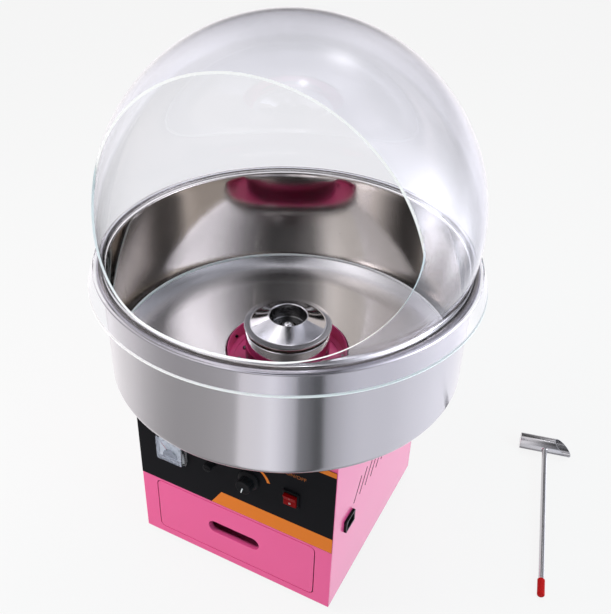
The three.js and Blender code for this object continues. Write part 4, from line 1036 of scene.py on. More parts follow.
@dataclass
class Controls:
    """The voltmeter, fuse cap, heat knob and switch on the front."""

    seat: float = -167.2
    meter: tuple[float, float] = (-103.0, 214.0)
    fuse: tuple[float, float] = (-35.0, 214.0)
    knob: tuple[float, float] = (29.5, 213.0)
    rocker: tuple[float, float] = (98.5, 212.0)
    pivot_drop: float = 13.0

    def at(self, place: tuple[float, float], depth: float = 0.0) -> Matrix:
        """Where a control is, its own Z to the front."""
        return Matrix.Translation((place[0], self.seat - depth, place[1])) @ FRONT

    def build(self) -> None:
        """Makes every control."""
        self.voltmeter()
        self.fuse_cap()
        self.heat_knob()
        self.switch()

    def voltmeter(self) -> None:
        """Clear window, printed dial with ticks and numbers, needle and the cover of its movement."""
        refine(Finishes.CLEAR, Body.MACHINE, 0.7, "voltmeter_window")
        dress(Finishes.BLACK, "voltmeter_case")
        dress(Finishes.CARD, "voltmeter_dial")
        refine(Finishes.NEEDLE_RED, Body.NEEDLE, 0.15, "voltmeter_needle")
        ink = Draft(Finishes.FILM)
        dial = self.at(self.meter, 2.5) @ Matrix.Translation((0, -self.pivot_drop, 0))
        for count, length, thick in ((31, 1.6, 0.16), (7, 3.0, 0.3)):
            tick = Draft(Finishes.FILM).block((-length, -thick, 0), (0, thick, 0.05))
            step = 90 / (count - 1)
            ink.absorb(Workshop.ring(tick, count, 27.5, 45, 90 + step), dial)
        ink.strip(arc(0, 0, 27.4, 27.4, 45, 135, 30), arc(0, 0, 27.8, 27.8, 45, 135, 30), 0, 0.05, 0, dial)
        for i, number in enumerate(("300", "200", "100", "0")):
            turn = math.radians(45 + 30 * i)
            spot = Matrix.Translation((21.2 * math.cos(turn), 21.2 * math.sin(turn), 0))
            ink.words(number, 2.6, dial @ spot, 0, 0.05)
        ink.words("V", 3.6, dial @ Matrix.Translation((0, 14, 0)), 0, 0.05)
        ink.finish("dial_print", Body.MACHINE, merge=False)
        cover = [(-12.5, -2), *arc(0, 0, 12.5, 13, 180, 0, 20), (12.5, -2)]
        shroud = Draft(Finishes.BLACK).prism(cover, 0, 2.0, 0,
                                             self.at(self.meter, 5.2) @ Matrix.Translation((0, -self.pivot_drop, 0)))
        shroud.bevel(0.5).finish("meter_shroud", Body.MACHINE, broad=4.0)
        film = Draft(Finishes.METER_FILM).prism(rounded(44.6, 44.6, 2.0), 0, 0.06, 0, self.at(self.meter, 10.05))
        film.finish("meter_film", Body.MACHINE)

    def fuse_cap(self) -> None:
        """Fluted fuse cap with a driver slot, in its round holder."""
        dress(Finishes.BLACK, "fuse_holder")
        dress(Finishes.CLEAR, "fuse_link")

        def flutes(turn: float, radius: float, height: float) -> float:
            """Fourteen shallow flutes round the side."""
            return radius - (0.35 * (1 + math.cos(14 * turn)) if 1.5 < height < 8 and radius > 6 else 0)

        profile = [(0, -6), (3.6, -6), (3.6, 0), (6.6, 0), (7, 0.4), (7, 1.2), (7, 1.8), (7, 7.4), (6.8, 8.4),
                   *arc(5.6, 8.6, 1.2, 1.2, 10, 80, 4), (0, 9.9)]
        cap = Draft(Finishes.BLACK).revolve(profile, 112, 0, None, flutes)
        cap.cut(Draft(Finishes.BLACK).block((-4.6, -0.55, 8.9), (4.6, 0.55, 11)))
        cap.move(self.at(self.fuse, 2.3))
        cap.finish("fuse_cap_look", Body.FUSE, ("fuse_cap",))

    def heat_knob(self) -> None:
        """Black knob with a skirt, a fluted grip and a white pointer line."""
        dress(Finishes.ZINC, "heat_regulator")

        def flutes(turn: float, radius: float, height: float) -> float:
            """Nine narrow flutes round the grip."""
            return radius - (0.55 * max(0.0, math.cos(9 * turn)) ** 3 if 4.5 < height < 17.2 and radius > 9 else 0)

        profile = [(0, -16), (3, -16), (3, 0), (16.4, 0), (17, 0.6), (16.8, 2.6), (16.0, 3.6), (14.2, 4.2), (13.2, 4.5),
                   (12.4, 5.4), (12.2, 10), (12.0, 15.8), *arc(10.6, 16.4, 1.35, 1.5, 5, 80, 5), (9.6, 17.6), (0, 17.3)]
        turn = Matrix.Rotation(math.radians(-15), 4, "Z")
        place = self.at(self.knob) @ turn
        knob = Draft(Finishes.BLACK, Finishes.WHITE_PRINT).revolve(profile, 144, 0, place, flutes)
        knob.block((-0.75, -11.0, 17.2), (0.75, -2.0, 17.95), 1, place)
        knob.block((-0.75, -16.2, 3.2), (0.75, -12.3, 4.35), 1, place)
        knob.finish("heat_knob_look", Body.KNOB, ("heat_knob",))

    def switch(self) -> None:
        """Rocker in its frame, with the marks for on and off."""
        refine(Finishes.BLACK, Body.MACHINE, 0.6, "rocker_frame")
        refine(Finishes.RED, Body.ROCKER, 0.5, "rocker_button")
        marks = Draft(Finishes.WHITE_PRINT)
        tilt = Matrix.Translation((self.rocker[0], self.seat, self.rocker[1])) @ Matrix.Rotation(math.radians(10), 4,
                                                                                                 "X")
        slope = math.degrees(math.atan2(2.0, 10.3))
        for text, up in (("I", 5.6), ("O", -5.8)):
            out = 4.8 + 2.0 * abs(up) / 10.3
            lean = Matrix.Rotation(math.radians(90 + (slope if up > 0 else -slope)), 4, "X")
            marks.words(text, 3.2, tilt @ Matrix.Translation((0, -out, up)) @ lean, 0, 0.08)
        marks.finish("switch_marks", Body.ROCKER, merge=False)


@dataclass
class Drawer:
    """The drawer front with its finger slot, and the tray behind it."""

    slot: tuple[float, float, float, float] = (90.0, 24.0, 74.5, -164.4)

    def build(self) -> None:
        """Makes the drawer."""
        refine(Finishes.ENAMEL, Body.DRAWER, 0.5, "drawer_front")
        refine(Finishes.ENAMEL, Body.DRAWER, 0.4, "drawer_tray")
        weld = Draft(Finishes.ENAMEL).revolve([(0, 0), (2.6, 0), (2.3, 0.35), (1.2, 0.5), (0, 0.3)], 16)
        welds = Draft(Finishes.ENAMEL)
        welds.absorb(Workshop.row(weld, 5, (-110, 125.9, 60), (55, 0, 0), (90, 0, 0)))
        welds.finish("tray_spot_welds", Body.DRAWER, merge=False)
        self.finger_trough()

    def finger_trough(self) -> None:
        """A folded lip below the finger slot that the fingers rest on."""
        width, tall, middle, face = self.slot
        sections = []
        for depth, lift in ((0, 0), (4, -0.4), (7, -1.4), (9, -3.2)):
            loop = []
            for skin, order in ((0.9, 1), (0.1, -1)):
                r = tall / 2 + skin
                reach = width / 2 - tall / 2
                right = arc(reach, middle + lift, r, r, 0, -90, 10)
                left = arc(-reach, middle + lift, r, r, -90, -180, 10)
                loop += [(x, face + depth, z) for x, z in (right + left)[::order]]
            sections.append(loop)
        Draft(Finishes.ENAMEL).loft(sections).finish("finger_trough", Body.DRAWER)


@dataclass
class Bowl:
    """The spun bowl, its seat and the turret that it drops over."""

    radius: float = 260.0
    sheet: float = 1.5
    floor: float = 313.0
    rim: float = 500.0
    bead: float = 3.5
    shoulder: tuple[float, float] = (55.0, 22.0)
    hole: float = 93.5
    lip: float = 16.6
    fall: float = 0.035
    lean: float = 0.00025
    turret: float = 91.5
    roof: float = 308.0

    def build(self) -> None:
        """Makes the bowl, the seat and the turret."""
        self.bowl()
        self.turret_ring()
        seat = [(96, 308.3), (112, 308.3), (112, 312.7), (96, 312.7), (96, 308.3)]
        Draft(Finishes.RUBBER).revolve(seat, 96).bevel(0.6).finish("bowl_seat_look", Body.MACHINE, ("bowl_seat",))

    def bowl(self) -> None:
        """Bowl with a crease where the dished floor meets the wall, and a rolled bead."""
        run, rise = self.shoulder
        shoulder_z = self.floor + rise
        inner = self.radius - self.sheet
        outside = arc(self.radius - run, shoulder_z, run, rise, -90, 0, 14)
        bead = arc(self.radius + self.bead, self.rim - self.bead, self.bead, self.bead, -150, 90, 18)
        dish = [self._bezier((inner - 0.6, shoulder_z - 0.4), (234, self.floor + 0.5), (204, self.floor + 1.5),
                             t / 12) for t in range(13)]
        crease = arc(inner + 0.4, shoulder_z + 1.6, 2.4, 2.4, 100, 240, 8)
        lip_in = self.hole + self.sheet
        near = self.floor + 1.5 + self.fall * (204 - lip_in - 3)
        profile = [(self.hole, self.floor), (self.radius - run - 60, self.floor), *outside,
                   (self.radius, shoulder_z + 3),
                   (self.radius, self.rim - 8), *bead, *self._barrel(inner), *crease, *dish, (lip_in + 3, near),
                   (lip_in + 0.8, near + 0.6), (lip_in, near + 2.4), (lip_in, self.floor + self.lip - 0.5),
                   (lip_in - 0.5, self.floor + self.lip), (self.hole + 0.5, self.floor + self.lip),
                   (self.hole, self.floor + self.lip - 0.5), (self.hole, self.floor)]

        def pick(radius: float, height: float) -> int:
            """Inside wall, floor or outside."""
            # The crease ring takes the pale weld finish, whose pale tone is partly a painted highlight.
            if inner - 2.2 < radius < inner + 0.05 and shoulder_z - 0.6 < height < shoulder_z + 4.1:
                return 3
            if height < shoulder_z + 1.5 and height > self.floor + 1.2 and radius < inner - 0.2 and radius > self.hole:
                return 2 if self._above(radius, height) else 0
            return 1 if radius < self.radius - 0.2 and height > shoulder_z else 0

        skins = Draft(Finishes.SPUN_OUT, Finishes.SPUN_IN, Finishes.SPUN_FLOOR, Finishes.WELD_HIGHLIGHT)
        skins.revolve(profile, 256, pick=pick).finish("bowl_look", Body.BOWL, ("bowl",), angle=38.0)
        mark = Draft(Finishes.SPUN_IN).revolve([(0, 0.9), (0.9, 0.75), (1.7, 0.3), (2.0, -0.1), (0, -0.1)], 20)
        seam = Matrix.Rotation(math.radians(8), 4, "Z") @ Matrix.Translation((0, inner, 392)) @ FRONT
        mark.move(seam)
        mark.finish("bowl_weld_mark", Body.BOWL)

    def _barrel(self, inner: float) -> list[tuple[float, float]]:
        """The inner skin from the rim down, leaning in a little towards the rim."""
        skin = []
        for i in range(16):
            height = self.rim - 3 - i * (self.rim - 3 - 345) / 15
            skin.append((inner - self.lean * max(0.0, height - 350) ** 2, height))
        radius = skin[0][0]
        return [(radius + 3.0, self.rim - 0.1), *arc(radius + 1.9, self.rim - 2.1, 1.9, 1.9, 80, 170, 6), *skin]

    def _above(self, radius: float, height: float) -> bool:
        """Whether a point is on the inner skin of the floor."""
        run, rise = self.shoulder
        if radius < self.radius - run:
            return height > self.floor + 1
        share = (radius - self.radius + run) / run
        return height > self.floor + rise - rise * math.sqrt(max(0.0, 1 - share * share)) + 0.8

    @staticmethod
    def _bezier(a: tuple[float, float], b: tuple[float, float], c: tuple[float, float], t: float) -> tuple[float,
                                                                                                           float]:
        """A point on a curve with three controls."""
        return tuple((1 - t) ** 2 * p + 2 * t * (1 - t) * q + t * t * r for p, q, r in zip(a, b, c))

    def turret_ring(self) -> None:
        """Enamelled turret with a rounded rim, air holes and foot screws."""
        low, high = self.roof + 0.3, self.roof + 23
        r = self.turret
        profile = [(82, low), (r - 1, low), (r, low + 1), (r, high - 0.7), (r - 0.3, high - 0.1), (r - 0.75, high),
                   (r - 1.2, high - 0.1), (r - 1.5, high - 0.7), (r - 1.5, low + 2.6), (r - 2.4, low + 1.5),
                   (82, low + 1.5), (82, low)]
        ring = Draft(Finishes.ENAMEL).revolve(profile, 128)
        disc = [(0, -130), (2.5, -130), (2.5, 130), (0, 130)]
        for turn in (0, 90):
            axis = Matrix.Rotation(math.radians(turn), 4, "Z") @ Matrix.Rotation(math.radians(90), 4, "Y")
            at = Matrix.Translation((0, 0, low + 5 + turn * 1e-4)) @ axis
            ring.cut(Draft(Finishes.ENAMEL).revolve(disc, 20, 0, at))
        ring.finish("turret_ring_look", Body.MACHINE, ("turret_ring",))
        screws = Draft(Finishes.ZINC)
        screws.absorb(Workshop.ring(screw_head(Finishes.ZINC, 2.6, 1.6), 3, 86.2, 30),
                      Matrix.Translation((0, 0, low + 1.5)))
        screws.absorb(Workshop.ring(screw_head(Finishes.ZINC, 3.4, 2.0), 3, 74, 90),
                      Matrix.Translation((0, 0, self.roof)))
        screws.finish("turret_screws", Body.MACHINE, merge=False)
        upright = Matrix.Translation((-69, -11, self.roof))
        sideways = Matrix.Translation((-90, -3, 319)) @ Matrix.Rotation(math.radians(90), 4, "Y")
        for name, finish, size, place in (("cup_stud", Finishes.DARK_STEEL_AND_SHADE, 3.6, upright),
                                          ("wall_stud", Finishes.BLACK, 2.4, sideways)):
            stud = screw_head(finish, size, 4.4)
            stud.move(place)
            stud.finish(name, Body.MACHINE, merge=False)


@dataclass
class Dome:
    """The clear half-open dome with its flange and skirt."""

    radius: float = 264.0
    wall: float = 3.0
    centre: float = 566.0
    low: float = 500.3
    sheet: float = 3.0
    reach: float = 253.0
    outer: float = 272.0
    skirt: tuple[float, float] = (30.0, 8.4)
    cut_y: float = -128.0
    corner: tuple[float, float, float] = (87.0, 131.5, 99.0)
    bend: tuple[float, float] = (18.5, 86.0)
    turn: float = 3.9
    fillet: float = 4.0

    def build(self) -> None:
        """Makes the dome with its cut opening."""
        top = self.low + self.sheet
        inner = self.radius - self.wall
        start = math.degrees(math.asin((top + self.fillet - self.centre) / self.radius))
        end = -math.degrees(math.acos(self.reach / inner))
        outside = arc(0, self.centre, self.radius, self.radius, start, 90, 72)
        inside = arc(0, self.centre, inner, inner, 90, end, 72)
        outside[-1], inside[0] = (0, outside[-1][1]), (0, inside[0][1])
        drop, spread = self.skirt
        fillet = [(self.outer - 2.5, top), (self.outer - 5, top),
                  *arc(outside[0][0] + self.fillet, top + self.fillet, self.fillet, self.fillet, 265, 192, 8)]
        skirt_low = top - drop
        in_top, in_low = (self.outer - self.wall, self.low - 1), (self.outer + spread - self.wall, skirt_low + 0.6)
        out_low, out_top = (self.outer + spread, skirt_low + 0.6), (self.outer + 0.2, top - 3)
        blend = lambda a, b, t: (a[0] + (b[0] - a[0]) * t, a[1] + (b[1] - a[1]) * t)
        profile = [*inside, (self.reach, self.low), (self.outer - self.wall - 1, self.low), in_top,
                   blend(in_top, in_low, 0.05),
                   blend(in_top, in_low, 0.95), in_low, (self.outer + spread - 1.5, skirt_low), out_low,
                   blend(out_low, out_top, 0.05), blend(out_low, out_top, 0.95), out_top, (self.outer - 0.6, top - 1),
                   *fillet, *outside]
        # The skirt's lowest faces (finish 1) get the milky edge finish: partly a frosted edge, partly a painted
        # highlight.
        shell = Draft(Finishes.CLEAR_DOME, Finishes.DOME_EDGE_HIGHLIGHT, Finishes.CLEAR_SKIRT)
        shell.revolve(profile, 256, pick=lambda radius, height: (1 if height < skirt_low + 1.5 else 2)
                      if height < top - 3 else 0)
        low = top + 2.0
        x, run, rise = self.corner
        angle, above = self.bend
        right = arc(x, low + rise, run, rise, -90, -angle, 26)
        reach = math.sqrt(self.radius ** 2 - self.cut_y ** 2)
        meet = (math.sqrt(reach ** 2 - above ** 2), self.centre + above)
        start, away = right[-1], meet[1] - right[-1][1]
        for i in range(1, 15):
            t = i / 14
            lead = (run / rise) * math.tan(math.radians(angle)) * away
            tail = -above / meet[0] * away
            across = ((2 * t ** 3 - 3 * t * t + 1) * start[0] + (t ** 3 - 2 * t * t + t) * lead
                      + (3 * t * t - 2 * t ** 3) * meet[0] + (t ** 3 - t * t) * tail)
            right.append((across, start[1] + t * away))
        right.append((meet[0] + 30, meet[1] + 20))
        outline = [*right, (meet[0] + 30, 850), (-meet[0] - 30, 850), *[(-u, v) for u, v in reversed(right)]]
        # Finish 1 on the blade passes the milky edge finish, with its painted highlight, to the opening's cut faces.
        blade = Draft(*shell.finishes).prism(outline, 0, 200, 1, Matrix.Translation((0, self.cut_y, 0)) @ FRONT)
        shell.cut(blade)
        shell.move(Matrix.Rotation(math.radians(self.turn), 4, "Z"))
        shell.finish("dome_look", Body.DOME, ("dome_cover",), merge=False)


@dataclass
class Head:
    """The spinner head in the turret and everything that turns with it."""

    pan: tuple[float, float, float] = (64.0, 340.0, 366.0)
    skirt: float = 316.0
    band: tuple[float, float, float] = (62.0, 366.3, 372.7)
    cap_low: float = 373.0
    nut: tuple[float, float, float] = (11.5, 356.3, 20.0)

    def build(self) -> None:
        """Makes the head and dresses the shaft's other pieces."""
        self.lower_pan()
        self.mesh()
        self.cap()
        self.clamp()
        dress(Finishes.POLISHED, "motor_shaft")
        dress(Finishes.IRON, "motor_rotor")
        dress(Finishes.BLACK, "cooling_fan", "slip_ring_hub")
        dress(Finishes.BRASS, "slip_ring_lower", "slip_ring_upper")
        dress(Finishes.HEATER, "heater_ring")

    def lower_pan(self) -> None:
        """Pressed pan on its hub, with a rolled top edge and a skirt that hangs into the turret; the skirt below the
        pan's floor is dark steel, painted shade for the turret's recess.
        """
        r, low, top = self.pan
        sheet = 1.5
        inside = r - sheet
        profile = [(5.3, low - 9), (11.4, low - 9), (12, low - 8.4), (12, low), (inside - 3, low),
                   (inside - 0.9, low - 0.9),
                   (inside, low - 3), (inside, self.skirt + 0.5), (r - 0.75, self.skirt), (r, self.skirt + 0.5),
                   (r, low), (r, low + 6), (r, top - 1.2), (r - 0.2, top - 0.4), (r - 0.75, top),
                   (r - 1.3, top - 0.4), (inside, top - 1.2),
                   (inside, low + 6), *arc(r - 6, low + 6, 4.5, 4.5, 0, -90, 6), (12, low + sheet), (12, low + 16),
                   (5.3, low + 16), (5.3, low - 9)]
        pan = Draft(Finishes.POLISHED, Finishes.DARK_STEEL_AND_SHADE)
        # Finish 1, the dark steel on the skirt below the pan's floor, is painted shade where the skirt hangs in the
        # turret.
        pan.revolve(profile, 160, pick=lambda radius, height: 1 if radius > inside - 0.5 and height < low else 0)
        pan.finish("head_pan_look", Body.SPINNER, ("head_pan",))

    def mesh(self) -> None:
        """Perforated band between the pan and the cap, made of slats between two hoops."""
        r, low, high = self.band
        band = Draft(Finishes.HEATER)
        for z in (low, (low + high) / 2 - 0.35, high - 0.7):
            band.revolve([(r - 2, z), (r, z), (r, z + 0.7), (r - 2, z + 0.7), (r - 2, z)], 120)
        slat = Draft(Finishes.HEATER).block((-1.7, -0.55, low + 0.2), (-0.3, 0.55, high - 0.2))
        band.absorb(Workshop.ring(slat, 110, r))
        band.finish("mesh_band_look", Body.SPINNER, ("mesh_band",), merge=False)

    def cap(self) -> None:
        """Polished cap: a flange ring, a cone and a rolled mouth."""
        low = self.cap_low
        top = low + 3
        rim = arc(29.2, top + 12.9, 1.6, 1.6, 35, 200, 12)
        profile = [(53, low), (65.2, low), (65.8, low + 0.3), (66, low + 1), (66, top - 0.9), (65.6, top - 0.2),
                   (64.8, top),
                   (58, top), (56.6, top + 0.15), (55.4, top + 0.8), *rim, (28.5, top + 11), (52.6, top - 1.2),
                   (53, top - 1.6), (53, low)]
        Draft(Finishes.POLISHED).revolve(profile, 192).finish("head_cap_look", Body.SPINNER, ("head_cap",), angle=30.0)
        wall = [(27.6, top + 12.5), (27.2, top + 12.5), (27.0, low - 4.0), (26.0, low - 5.0), (15.0, low - 5.6),
                (15.0, low - 6.2),
                (26.6, low - 5.7), (27.6, low - 4.4), (27.6, top + 12.5)]
        Draft(Finishes.DARK_STEEL_AND_SHADE).revolve(wall, 96).finish("sugar_mouth", Body.SPINNER)

    def clamp(self) -> None:
        """Domed nut that clamps the head, six-sided below its dome."""
        r, low, height = self.nut

        def flats(turn: float, radius: float, z: float) -> float:
            """Six flats below the dome."""
            flat = 0.9 * r / math.cos((turn + math.pi / 6) % (math.pi / 3) - math.pi / 6)
            return min(radius, flat) if z < 9.4 else radius

        dome = arc(0, 10, r - 1.4, height - 10, 0, 84, 12)
        profile = [(5.3, 0), (r - 0.6, 0), (r, 0.6), (r, 9), (r - 1, 9.8), *dome, (0, height), (5.3, 10), (5.3, 0)]
        nut = Draft(Finishes.SATIN_NUT).revolve(profile, 96, 0, Matrix.Translation((0, 0, low)), flats)
        nut.finish("clamp_nut_look", Body.SPINNER, ("clamp_nut",))


@dataclass
class Drive:
    """Motor, brushes and electrics inside the cabinet."""

    def build(self) -> None:
        """Dresses the inner solids."""
        dress(Finishes.ZINC, "motor_plate", "motor_end_bell")
        dress(Finishes.RUBBER, "motor_post_1", "motor_post_2", "motor_post_3")
        dress(Finishes.IRON, "motor_can", "motor_stator")
        dress(Finishes.POLISHED, "bearing_upper", "bearing_lower")
        dress(Finishes.BLACK, "brush_holder", "terminal_block")
        dress(Finishes.CARBON, "carbon_brush_lower", "carbon_brush_upper")
        dress(Finishes.BOARD, "control_board")


@dataclass
class Scoop:
    """The sugar scoop lying on the table."""

    tip: tuple[float, float] = (447.0, 11.0)
    turn: float = 12.8
    tube: float = 14.7
    wall: float = 1.2
    back: float = 45.0
    front: tuple[float, float] = (16.0, 50.0)
    handle: float = 332.0
    rod: float = 4.5
    grip: tuple[float, float, float] = (6.0, 30.0, 3.0)

    def place(self) -> Matrix:
        """Where the scoop's own frame lies."""
        turn = math.radians(self.turn)
        droop = math.asin((self.tube - self.grip[0]) / (self.handle - self.grip[2]))
        x = self.tip[0] - self.handle * math.sin(turn)
        y = self.tip[1] + self.handle * math.cos(turn)
        spin = Matrix.Rotation(turn, 4, "Z") @ Matrix.Rotation(droop, 4, "X")
        return Matrix.Translation((x, y, self.tube)) @ spin

    def build(self) -> None:
        """Makes the tube with its slanted mouth, the rod and the grip."""
        place = self.place()
        r, inner = self.tube, self.tube - self.wall
        length = self.back + self.front[1]
        along = Matrix.Translation((-self.back, 0, 0)) @ Matrix.Rotation(math.radians(90), 4, "Y")
        profile = [(0, 0), (r - 1.2, 0), (r - 0.35, 0.35), (r, 1.2), (r, length), (inner, length), (inner, 2.2),
                   (inner - 1, 1.2), (0, 1.2)]
        tube = Draft(Finishes.PLAIN_POLISHED).revolve(profile, 96, 0, along)
        top, low = self.front
        slope = (low - top) / (2 * r)
        wedge = [(top - slope * 6, r + 6), (low + slope * 6, -r - 6), (low + 60, -r - 6), (low + 60, r + 6)]
        tube.cut(Draft(Finishes.PLAIN_POLISHED).prism(wedge, -40, 40, 0, FRONT))
        tube.move(place)
        tube.finish("scoop_tube_look", Body.SCOOP, ("scoop_tube",))
        lay = place @ FRONT
        start, end = r - 0.2, self.handle - self.grip[2] - 0.3
        rod = [(0, start), (self.rod + 1.1, start), (self.rod + 0.5, start + 0.9), (self.rod, start + 2.0),
               (self.rod, end), (0, end)]
        Draft(Finishes.PLAIN_POLISHED).revolve(rod, 48, 0, lay).finish("scoop_rod_look", Body.SCOOP, ("scoop_rod",))
        g, long, cap = self.grip
        h = self.handle
        tip = [(self.rod + 0.3, h - long), (g - 0.6, h - long), (g - 0.1, h - long + 0.6), (g - 0.15, h - 12),
               (g, h - 4),
               *arc(g - 3.4, h - 3.4, 3.4, 3.4, 5, 85, 7), (0, h), (0, h - cap), (self.rod + 0.3, h - cap),
               (self.rod + 0.3, h - long)]
        Draft(Finishes.RED_RUBBER).revolve(tip, 64, 0, lay).finish("scoop_tip_look", Body.SCOOP, ("scoop_tip",))


@dataclass(frozen=True)
class SoftBox:
    """A round soft glow that polished surfaces mirror."""

    azimuth: float
    height: float
    half_width: float
    level: float


@dataclass
class Studio:
    """Pale floor, soft studio light and the photograph's camera.

    Azimuths are degrees from +X towards +Y; levels are shares of plain white.
    """

    eye: tuple[float, float, float] = (0.45746, -0.87775, 1.10083)
    right: tuple[float, float, float] = (0.88795, 0.45896, 0.02993)
    up: tuple[float, float, float] = (-0.27409, 0.47578, 0.83577)
    lens: float = 48.055
    shift: tuple[float, float] = (0.0011, -0.0433)
    span: float = 30.0
    aim: float = 0.45
    pale: float = 0.945
    emitted: float = 0.92
    low_bands: Sequence[tuple[float, float]] = (
        (-180, 0.85), (-165, 0.6), (-152, 0.44), (-138, 0.38), (-118, 0.42), (-98, 0.52), (-96, 0.56), (-93, 0.98),
        (-80, 1.03), (-73, 1.16), (-69, 1.08), (-58, 0.64), (-56, 0.52), (-54, 0.25), (-48, 0.16), (-42, 0.05),
        (-38.5, 0.05), (-36.5, 0.4), (-30, 0.58), (-22, 0.74), (-12, 0.85), (10, 0.85), (28, 0.97), (75, 1.15),
        (150, 1.1), (180, 0.85))
    high_bands: Sequence[tuple[float, float]] = (
        (-180, 0.7), (-160, 0.85), (-148, 0.95), (-130, 0.98), (-112, 0.98), (-104, 1.1), (-97, 1.3), (-91, 1.2),
        (-86, 0.75), (-79, 0.32), (-66, 0.14), (-50, 0.09), (-42, 0.16), (-34, 0.3), (-27, 0.55), (-20, 0.85),
        (-11, 1.35), (2, 1.8), (16, 1.75), (27, 1.2), (38, 0.4), (60, 0.25), (95, 0.5), (112, 0.12), (130, 0.2),
        (150, 1.0), (166, 1.0), (180, 0.7))
    glows: Sequence[SoftBox] = (
        SoftBox(18.0, 1.0, 15.0, 7.6), SoftBox(42.0, -20.0, 8.0, 3.0), SoftBox(88.0, 52.0, 5.0, 2.2),
        SoftBox(95.0, 79.0, 1.6, 4.0), SoftBox(-150.0, 68.0, 12.0, 1.3), SoftBox(55.0, 66.0, 7.0, 0.5),
        SoftBox(-115.0, 58.0, 9.0, 0.9),
        SoftBox(114.0, 82.0, 7.0, 1.6))
    lamps: Sequence[tuple[str, float, float, float, float, float, float, float]] = (
        ("key", -150, 30, 1.5, 0.8, 0.8, 17.0, 0.0),
        ("overhead", 88, 56, 2.0, 0.8, 0.6, 12.0, 0.0),
        ("right_fill", -10, 22, 2.4, 1.0, 1.2, 20.0, 0.6),
    )

    def build(self) -> None:
        """Sets the view transform and makes the studio."""
        bpy.context.scene.view_settings.view_transform = "Standard"
        self.camera()
        self.world()
        self.floor()
        for lamp in self.lamps:
            self.lamp(*lamp)

    def camera(self) -> None:
        """The camera fitted to the photograph."""
        data = bpy.data.cameras.new("camera")
        data.lens, data.sensor_width = self.lens, 36.0
        data.shift_x, data.shift_y = self.shift
        data.clip_start, data.clip_end = 0.05, 80.0
        eye = Workshop.place("camera", data)
        right, up = Vector(self.right).normalized(), Vector(self.up).normalized()
        back = right.cross(up)
        eye.matrix_world = Matrix.Translation(self.eye) @ Matrix((right, up, back)).transposed().to_4x4()
        bpy.context.scene.camera = eye

    def room(self) -> bpy.types.NodeTree:
        """What polished surfaces mirror: bright walls with dark gaps and a few soft boxes.

        Returns:
            The group, from a direction to a colour.
        """
        known = bpy.data.node_groups.get("studio_room")
        if known:
            return known
        group = bpy.data.node_groups.new("studio_room", "ShaderNodeTree")
        group.interface.new_socket("Direction", in_out="INPUT", socket_type="NodeSocketVector")
        group.interface.new_socket("Color", in_out="OUTPUT", socket_type="NodeSocketColor")
        tree = Tree(group)
        toward = tree.add("NodeGroupInput").outputs[0]
        part = tree.add("ShaderNodeSeparateXYZ", {0: toward})
        turn = tree.sum("ARCTAN2", part.outputs[1], part.outputs[0])
        share = tree.sum("MULTIPLY_ADD", turn, 1 / math.tau, 0.5)
        low, high = self._ramp(tree, share, self.low_bands), self._ramp(tree, share, self.high_bands)
        walls = tree.blend(tree.ease(part.outputs[2], -0.16, 0.1), low, high)
        top = tree.ease(part.outputs[2], 0.55, 0.93, 1.0, 0.3)
        under = tree.ease(part.outputs[2], -0.98, -0.78, 0.45)
        level = tree.sum("MULTIPLY", tree.sum("MULTIPLY", walls, top), under)
        for glow in self.glows:
            a, e = math.radians(glow.azimuth), math.radians(glow.height)
            middle = (math.cos(a) * math.cos(e), math.sin(a) * math.cos(e), math.sin(e))
            facing = tree.add("ShaderNodeVectorMath", {0: toward, 1: middle}, operation="DOT_PRODUCT").outputs["Value"]
            power = math.log(0.5) / math.log(math.cos(math.radians(glow.half_width)))
            spot = tree.sum("POWER", tree.sum("MAXIMUM", facing, 0.0), power)
            level = tree.sum("MULTIPLY_ADD", spot, glow.level, level)
        cool = tree.ease(part.outputs[0], -0.3, 0.5)
        tint = tree.blend(cool, (1.0, 0.97, 0.99, 1.0), (0.97, 0.975, 1.07, 1.0))
        colour = tree.add("ShaderNodeVectorMath", {0: tint, 3: level}, operation="SCALE")
        tree.feed(tree.add("NodeGroupOutput").inputs[0], colour.outputs[0])
        return group

    def mirrored(self, tree: Tree, direction: bpy.types.NodeSocket) -> bpy.types.NodeSocket:
        """The room's colour in a direction."""
        node = tree.add("ShaderNodeGroup", node_tree=self.room())
        tree.feed(node.inputs[0], direction)
        return node.outputs[0]

    def world(self) -> None:
        """The room for mirrored rays, soft light for matt surfaces, and a plain pale background."""
        world = bpy.data.worlds.new("studio")
        tree = emptied(world)
        path = tree.add("ShaderNodeLightPath").outputs
        way = tree.add("ShaderNodeTexCoord").outputs["Generated"]
        plain = tree.add("ShaderNodeBackground", {"Color": (self.pale, self.pale, self.pale, 1), "Strength": 1.0})
        room = tree.add("ShaderNodeBackground", {"Color": self.mirrored(tree, way), "Strength": 1.0})
        soft = tree.add("ShaderNodeBackground", {"Color": (1, 1, 1, 1), "Strength": 0.62})
        metal = tree.sum("GREATER_THAN", path["Glossy Depth"], 0.5)
        matt = self._matt(tree, path)
        first = tree.add("ShaderNodeMixShader", {0: metal, 1: plain.outputs[0], 2: room.outputs[0]})
        last = tree.add("ShaderNodeMixShader", {0: matt, 1: first.outputs[0], 2: soft.outputs[0]})
        tree.feed(tree.add("ShaderNodeOutputWorld").inputs[0], last.outputs[0])
        bpy.context.scene.world = world

    @staticmethod
    def _matt(tree: Tree, path: bpy.types.NodeOutputs) -> bpy.types.NodeSocket:
        """Whether a ray comes from a matt surface."""
        return tree.sum("MAXIMUM", tree.sum("GREATER_THAN", path["Diffuse Depth"], 0.5), path["Is Diffuse Ray"])

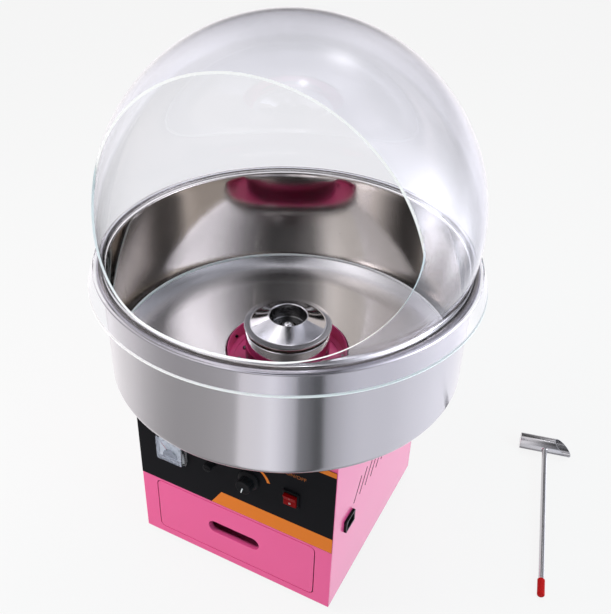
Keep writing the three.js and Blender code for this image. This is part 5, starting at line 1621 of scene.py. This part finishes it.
    @staticmethod
    def _ramp(tree: Tree, share: bpy.types.NodeSocket, stops: Sequence[tuple[float, float]]) -> bpy.types.NodeSocket:
        """A brightness that changes with the azimuth.

        Args:
            tree: The group's tree.
            share: The azimuth as a share of a full turn, from -180 degrees.
            stops: Azimuths and their levels.

        Returns:
            The brightness.
        """
        ramp = tree.add("ShaderNodeValToRGB", {0: share})
        marks = ramp.color_ramp.elements
        while len(marks) > 1:
            marks.remove(marks[0])
        for i, (angle, level) in enumerate(stops):
            place = (angle + 180) / 360
            mark = marks[0] if i == 0 else marks.new(place)
            mark.position, mark.color = place, (level, level, level, 1)
        return ramp.outputs[0]

    def floor(self) -> None:
        """A wide pale floor that keeps the object's shadow."""
        mesh = bpy.data.meshes.new("floor")
        mesh.from_pydata([(x * self.span, y * self.span, 0) for x, y in ((-1, -1), (1, -1), (1, 1), (-1, 1))], [],
                         [(0, 1, 2, 3)])
        paint = bpy.data.materials.new("pale_floor")
        tree = emptied(paint)
        path = tree.add("ShaderNodeLightPath").outputs
        matt = self._matt(tree, path)
        shadow = tree.sum("SUBTRACT", 1.0, path["Is Shadow Ray"])
        metal = tree.sum("MULTIPLY", tree.sum("GREATER_THAN", path["Glossy Depth"], 0.5), shadow)
        plain = tree.add("ShaderNodeBsdfDiffuse", {"Color": (0.8, 0.8, 0.8, 1)})
        lit = tree.add("ShaderNodeEmission", {"Color": (self.pale, self.pale, self.pale, 1.0), "Strength": 1.0})
        open_way = tree.add("ShaderNodeBsdfTransparent")
        seen = tree.add("ShaderNodeMixShader", {0: metal, 1: lit.outputs[0], 2: open_way.outputs[0]})
        share = tree.sum("MULTIPLY_ADD", matt, -self.emitted, self.emitted)
        mixed = tree.add("ShaderNodeMixShader", {0: share, 1: plain.outputs[0], 2: seen.outputs[0]})
        tree.feed(tree.add("ShaderNodeOutputMaterial").inputs[0], mixed.outputs[0])
        mesh.materials.append(paint)
        Workshop.place("floor", mesh)

    def lamp(self, name: str, azimuth: float, height: float, away: float, width: float, tall: float, power: float,
             cool: float) -> None:
        """A soft box that looks at the bowl.

        Args:
            name: Its name.
            azimuth: Direction from the bowl, in degrees from +X.
            height: Degrees above the bowl.
            away: Distance in metres.
            width: Width in metres.
            tall: Height in metres.
            power: Power in watts.
            cool: How much bluer than white it is.
        """
        data = bpy.data.lights.new(name, "AREA")
        data.shape, data.size, data.size_y, data.energy = "RECTANGLE", width, tall, power
        data.color = (1 - cool, 1 - cool * 0.2, 1.0)
        a, e = math.radians(azimuth), math.radians(height)
        way = Vector((math.cos(a) * math.cos(e), math.sin(a) * math.cos(e), math.sin(e)))
        box = Workshop.place(name, data)
        box.location = Vector((0, 0, self.aim)) + way * away
        box.rotation_mode = "QUATERNION"
        box.rotation_quaternion = way.to_track_quat("Z", "Y")
        box.visible_glossy = box.visible_transmission = False


def main() -> None:
    """Builds the studio and each sub-assembly in order."""
    logging.basicConfig(level=logging.INFO, format="%(name)s: %(message)s")
    for part in (Studio(), Cabinet(), Controls(), Drawer(), Bowl(), Dome(), Head(), Drive(), Scoop()):
        LOG.info("building %s", type(part).__name__)
        part.build()


if __name__ == "__main__":
    main()
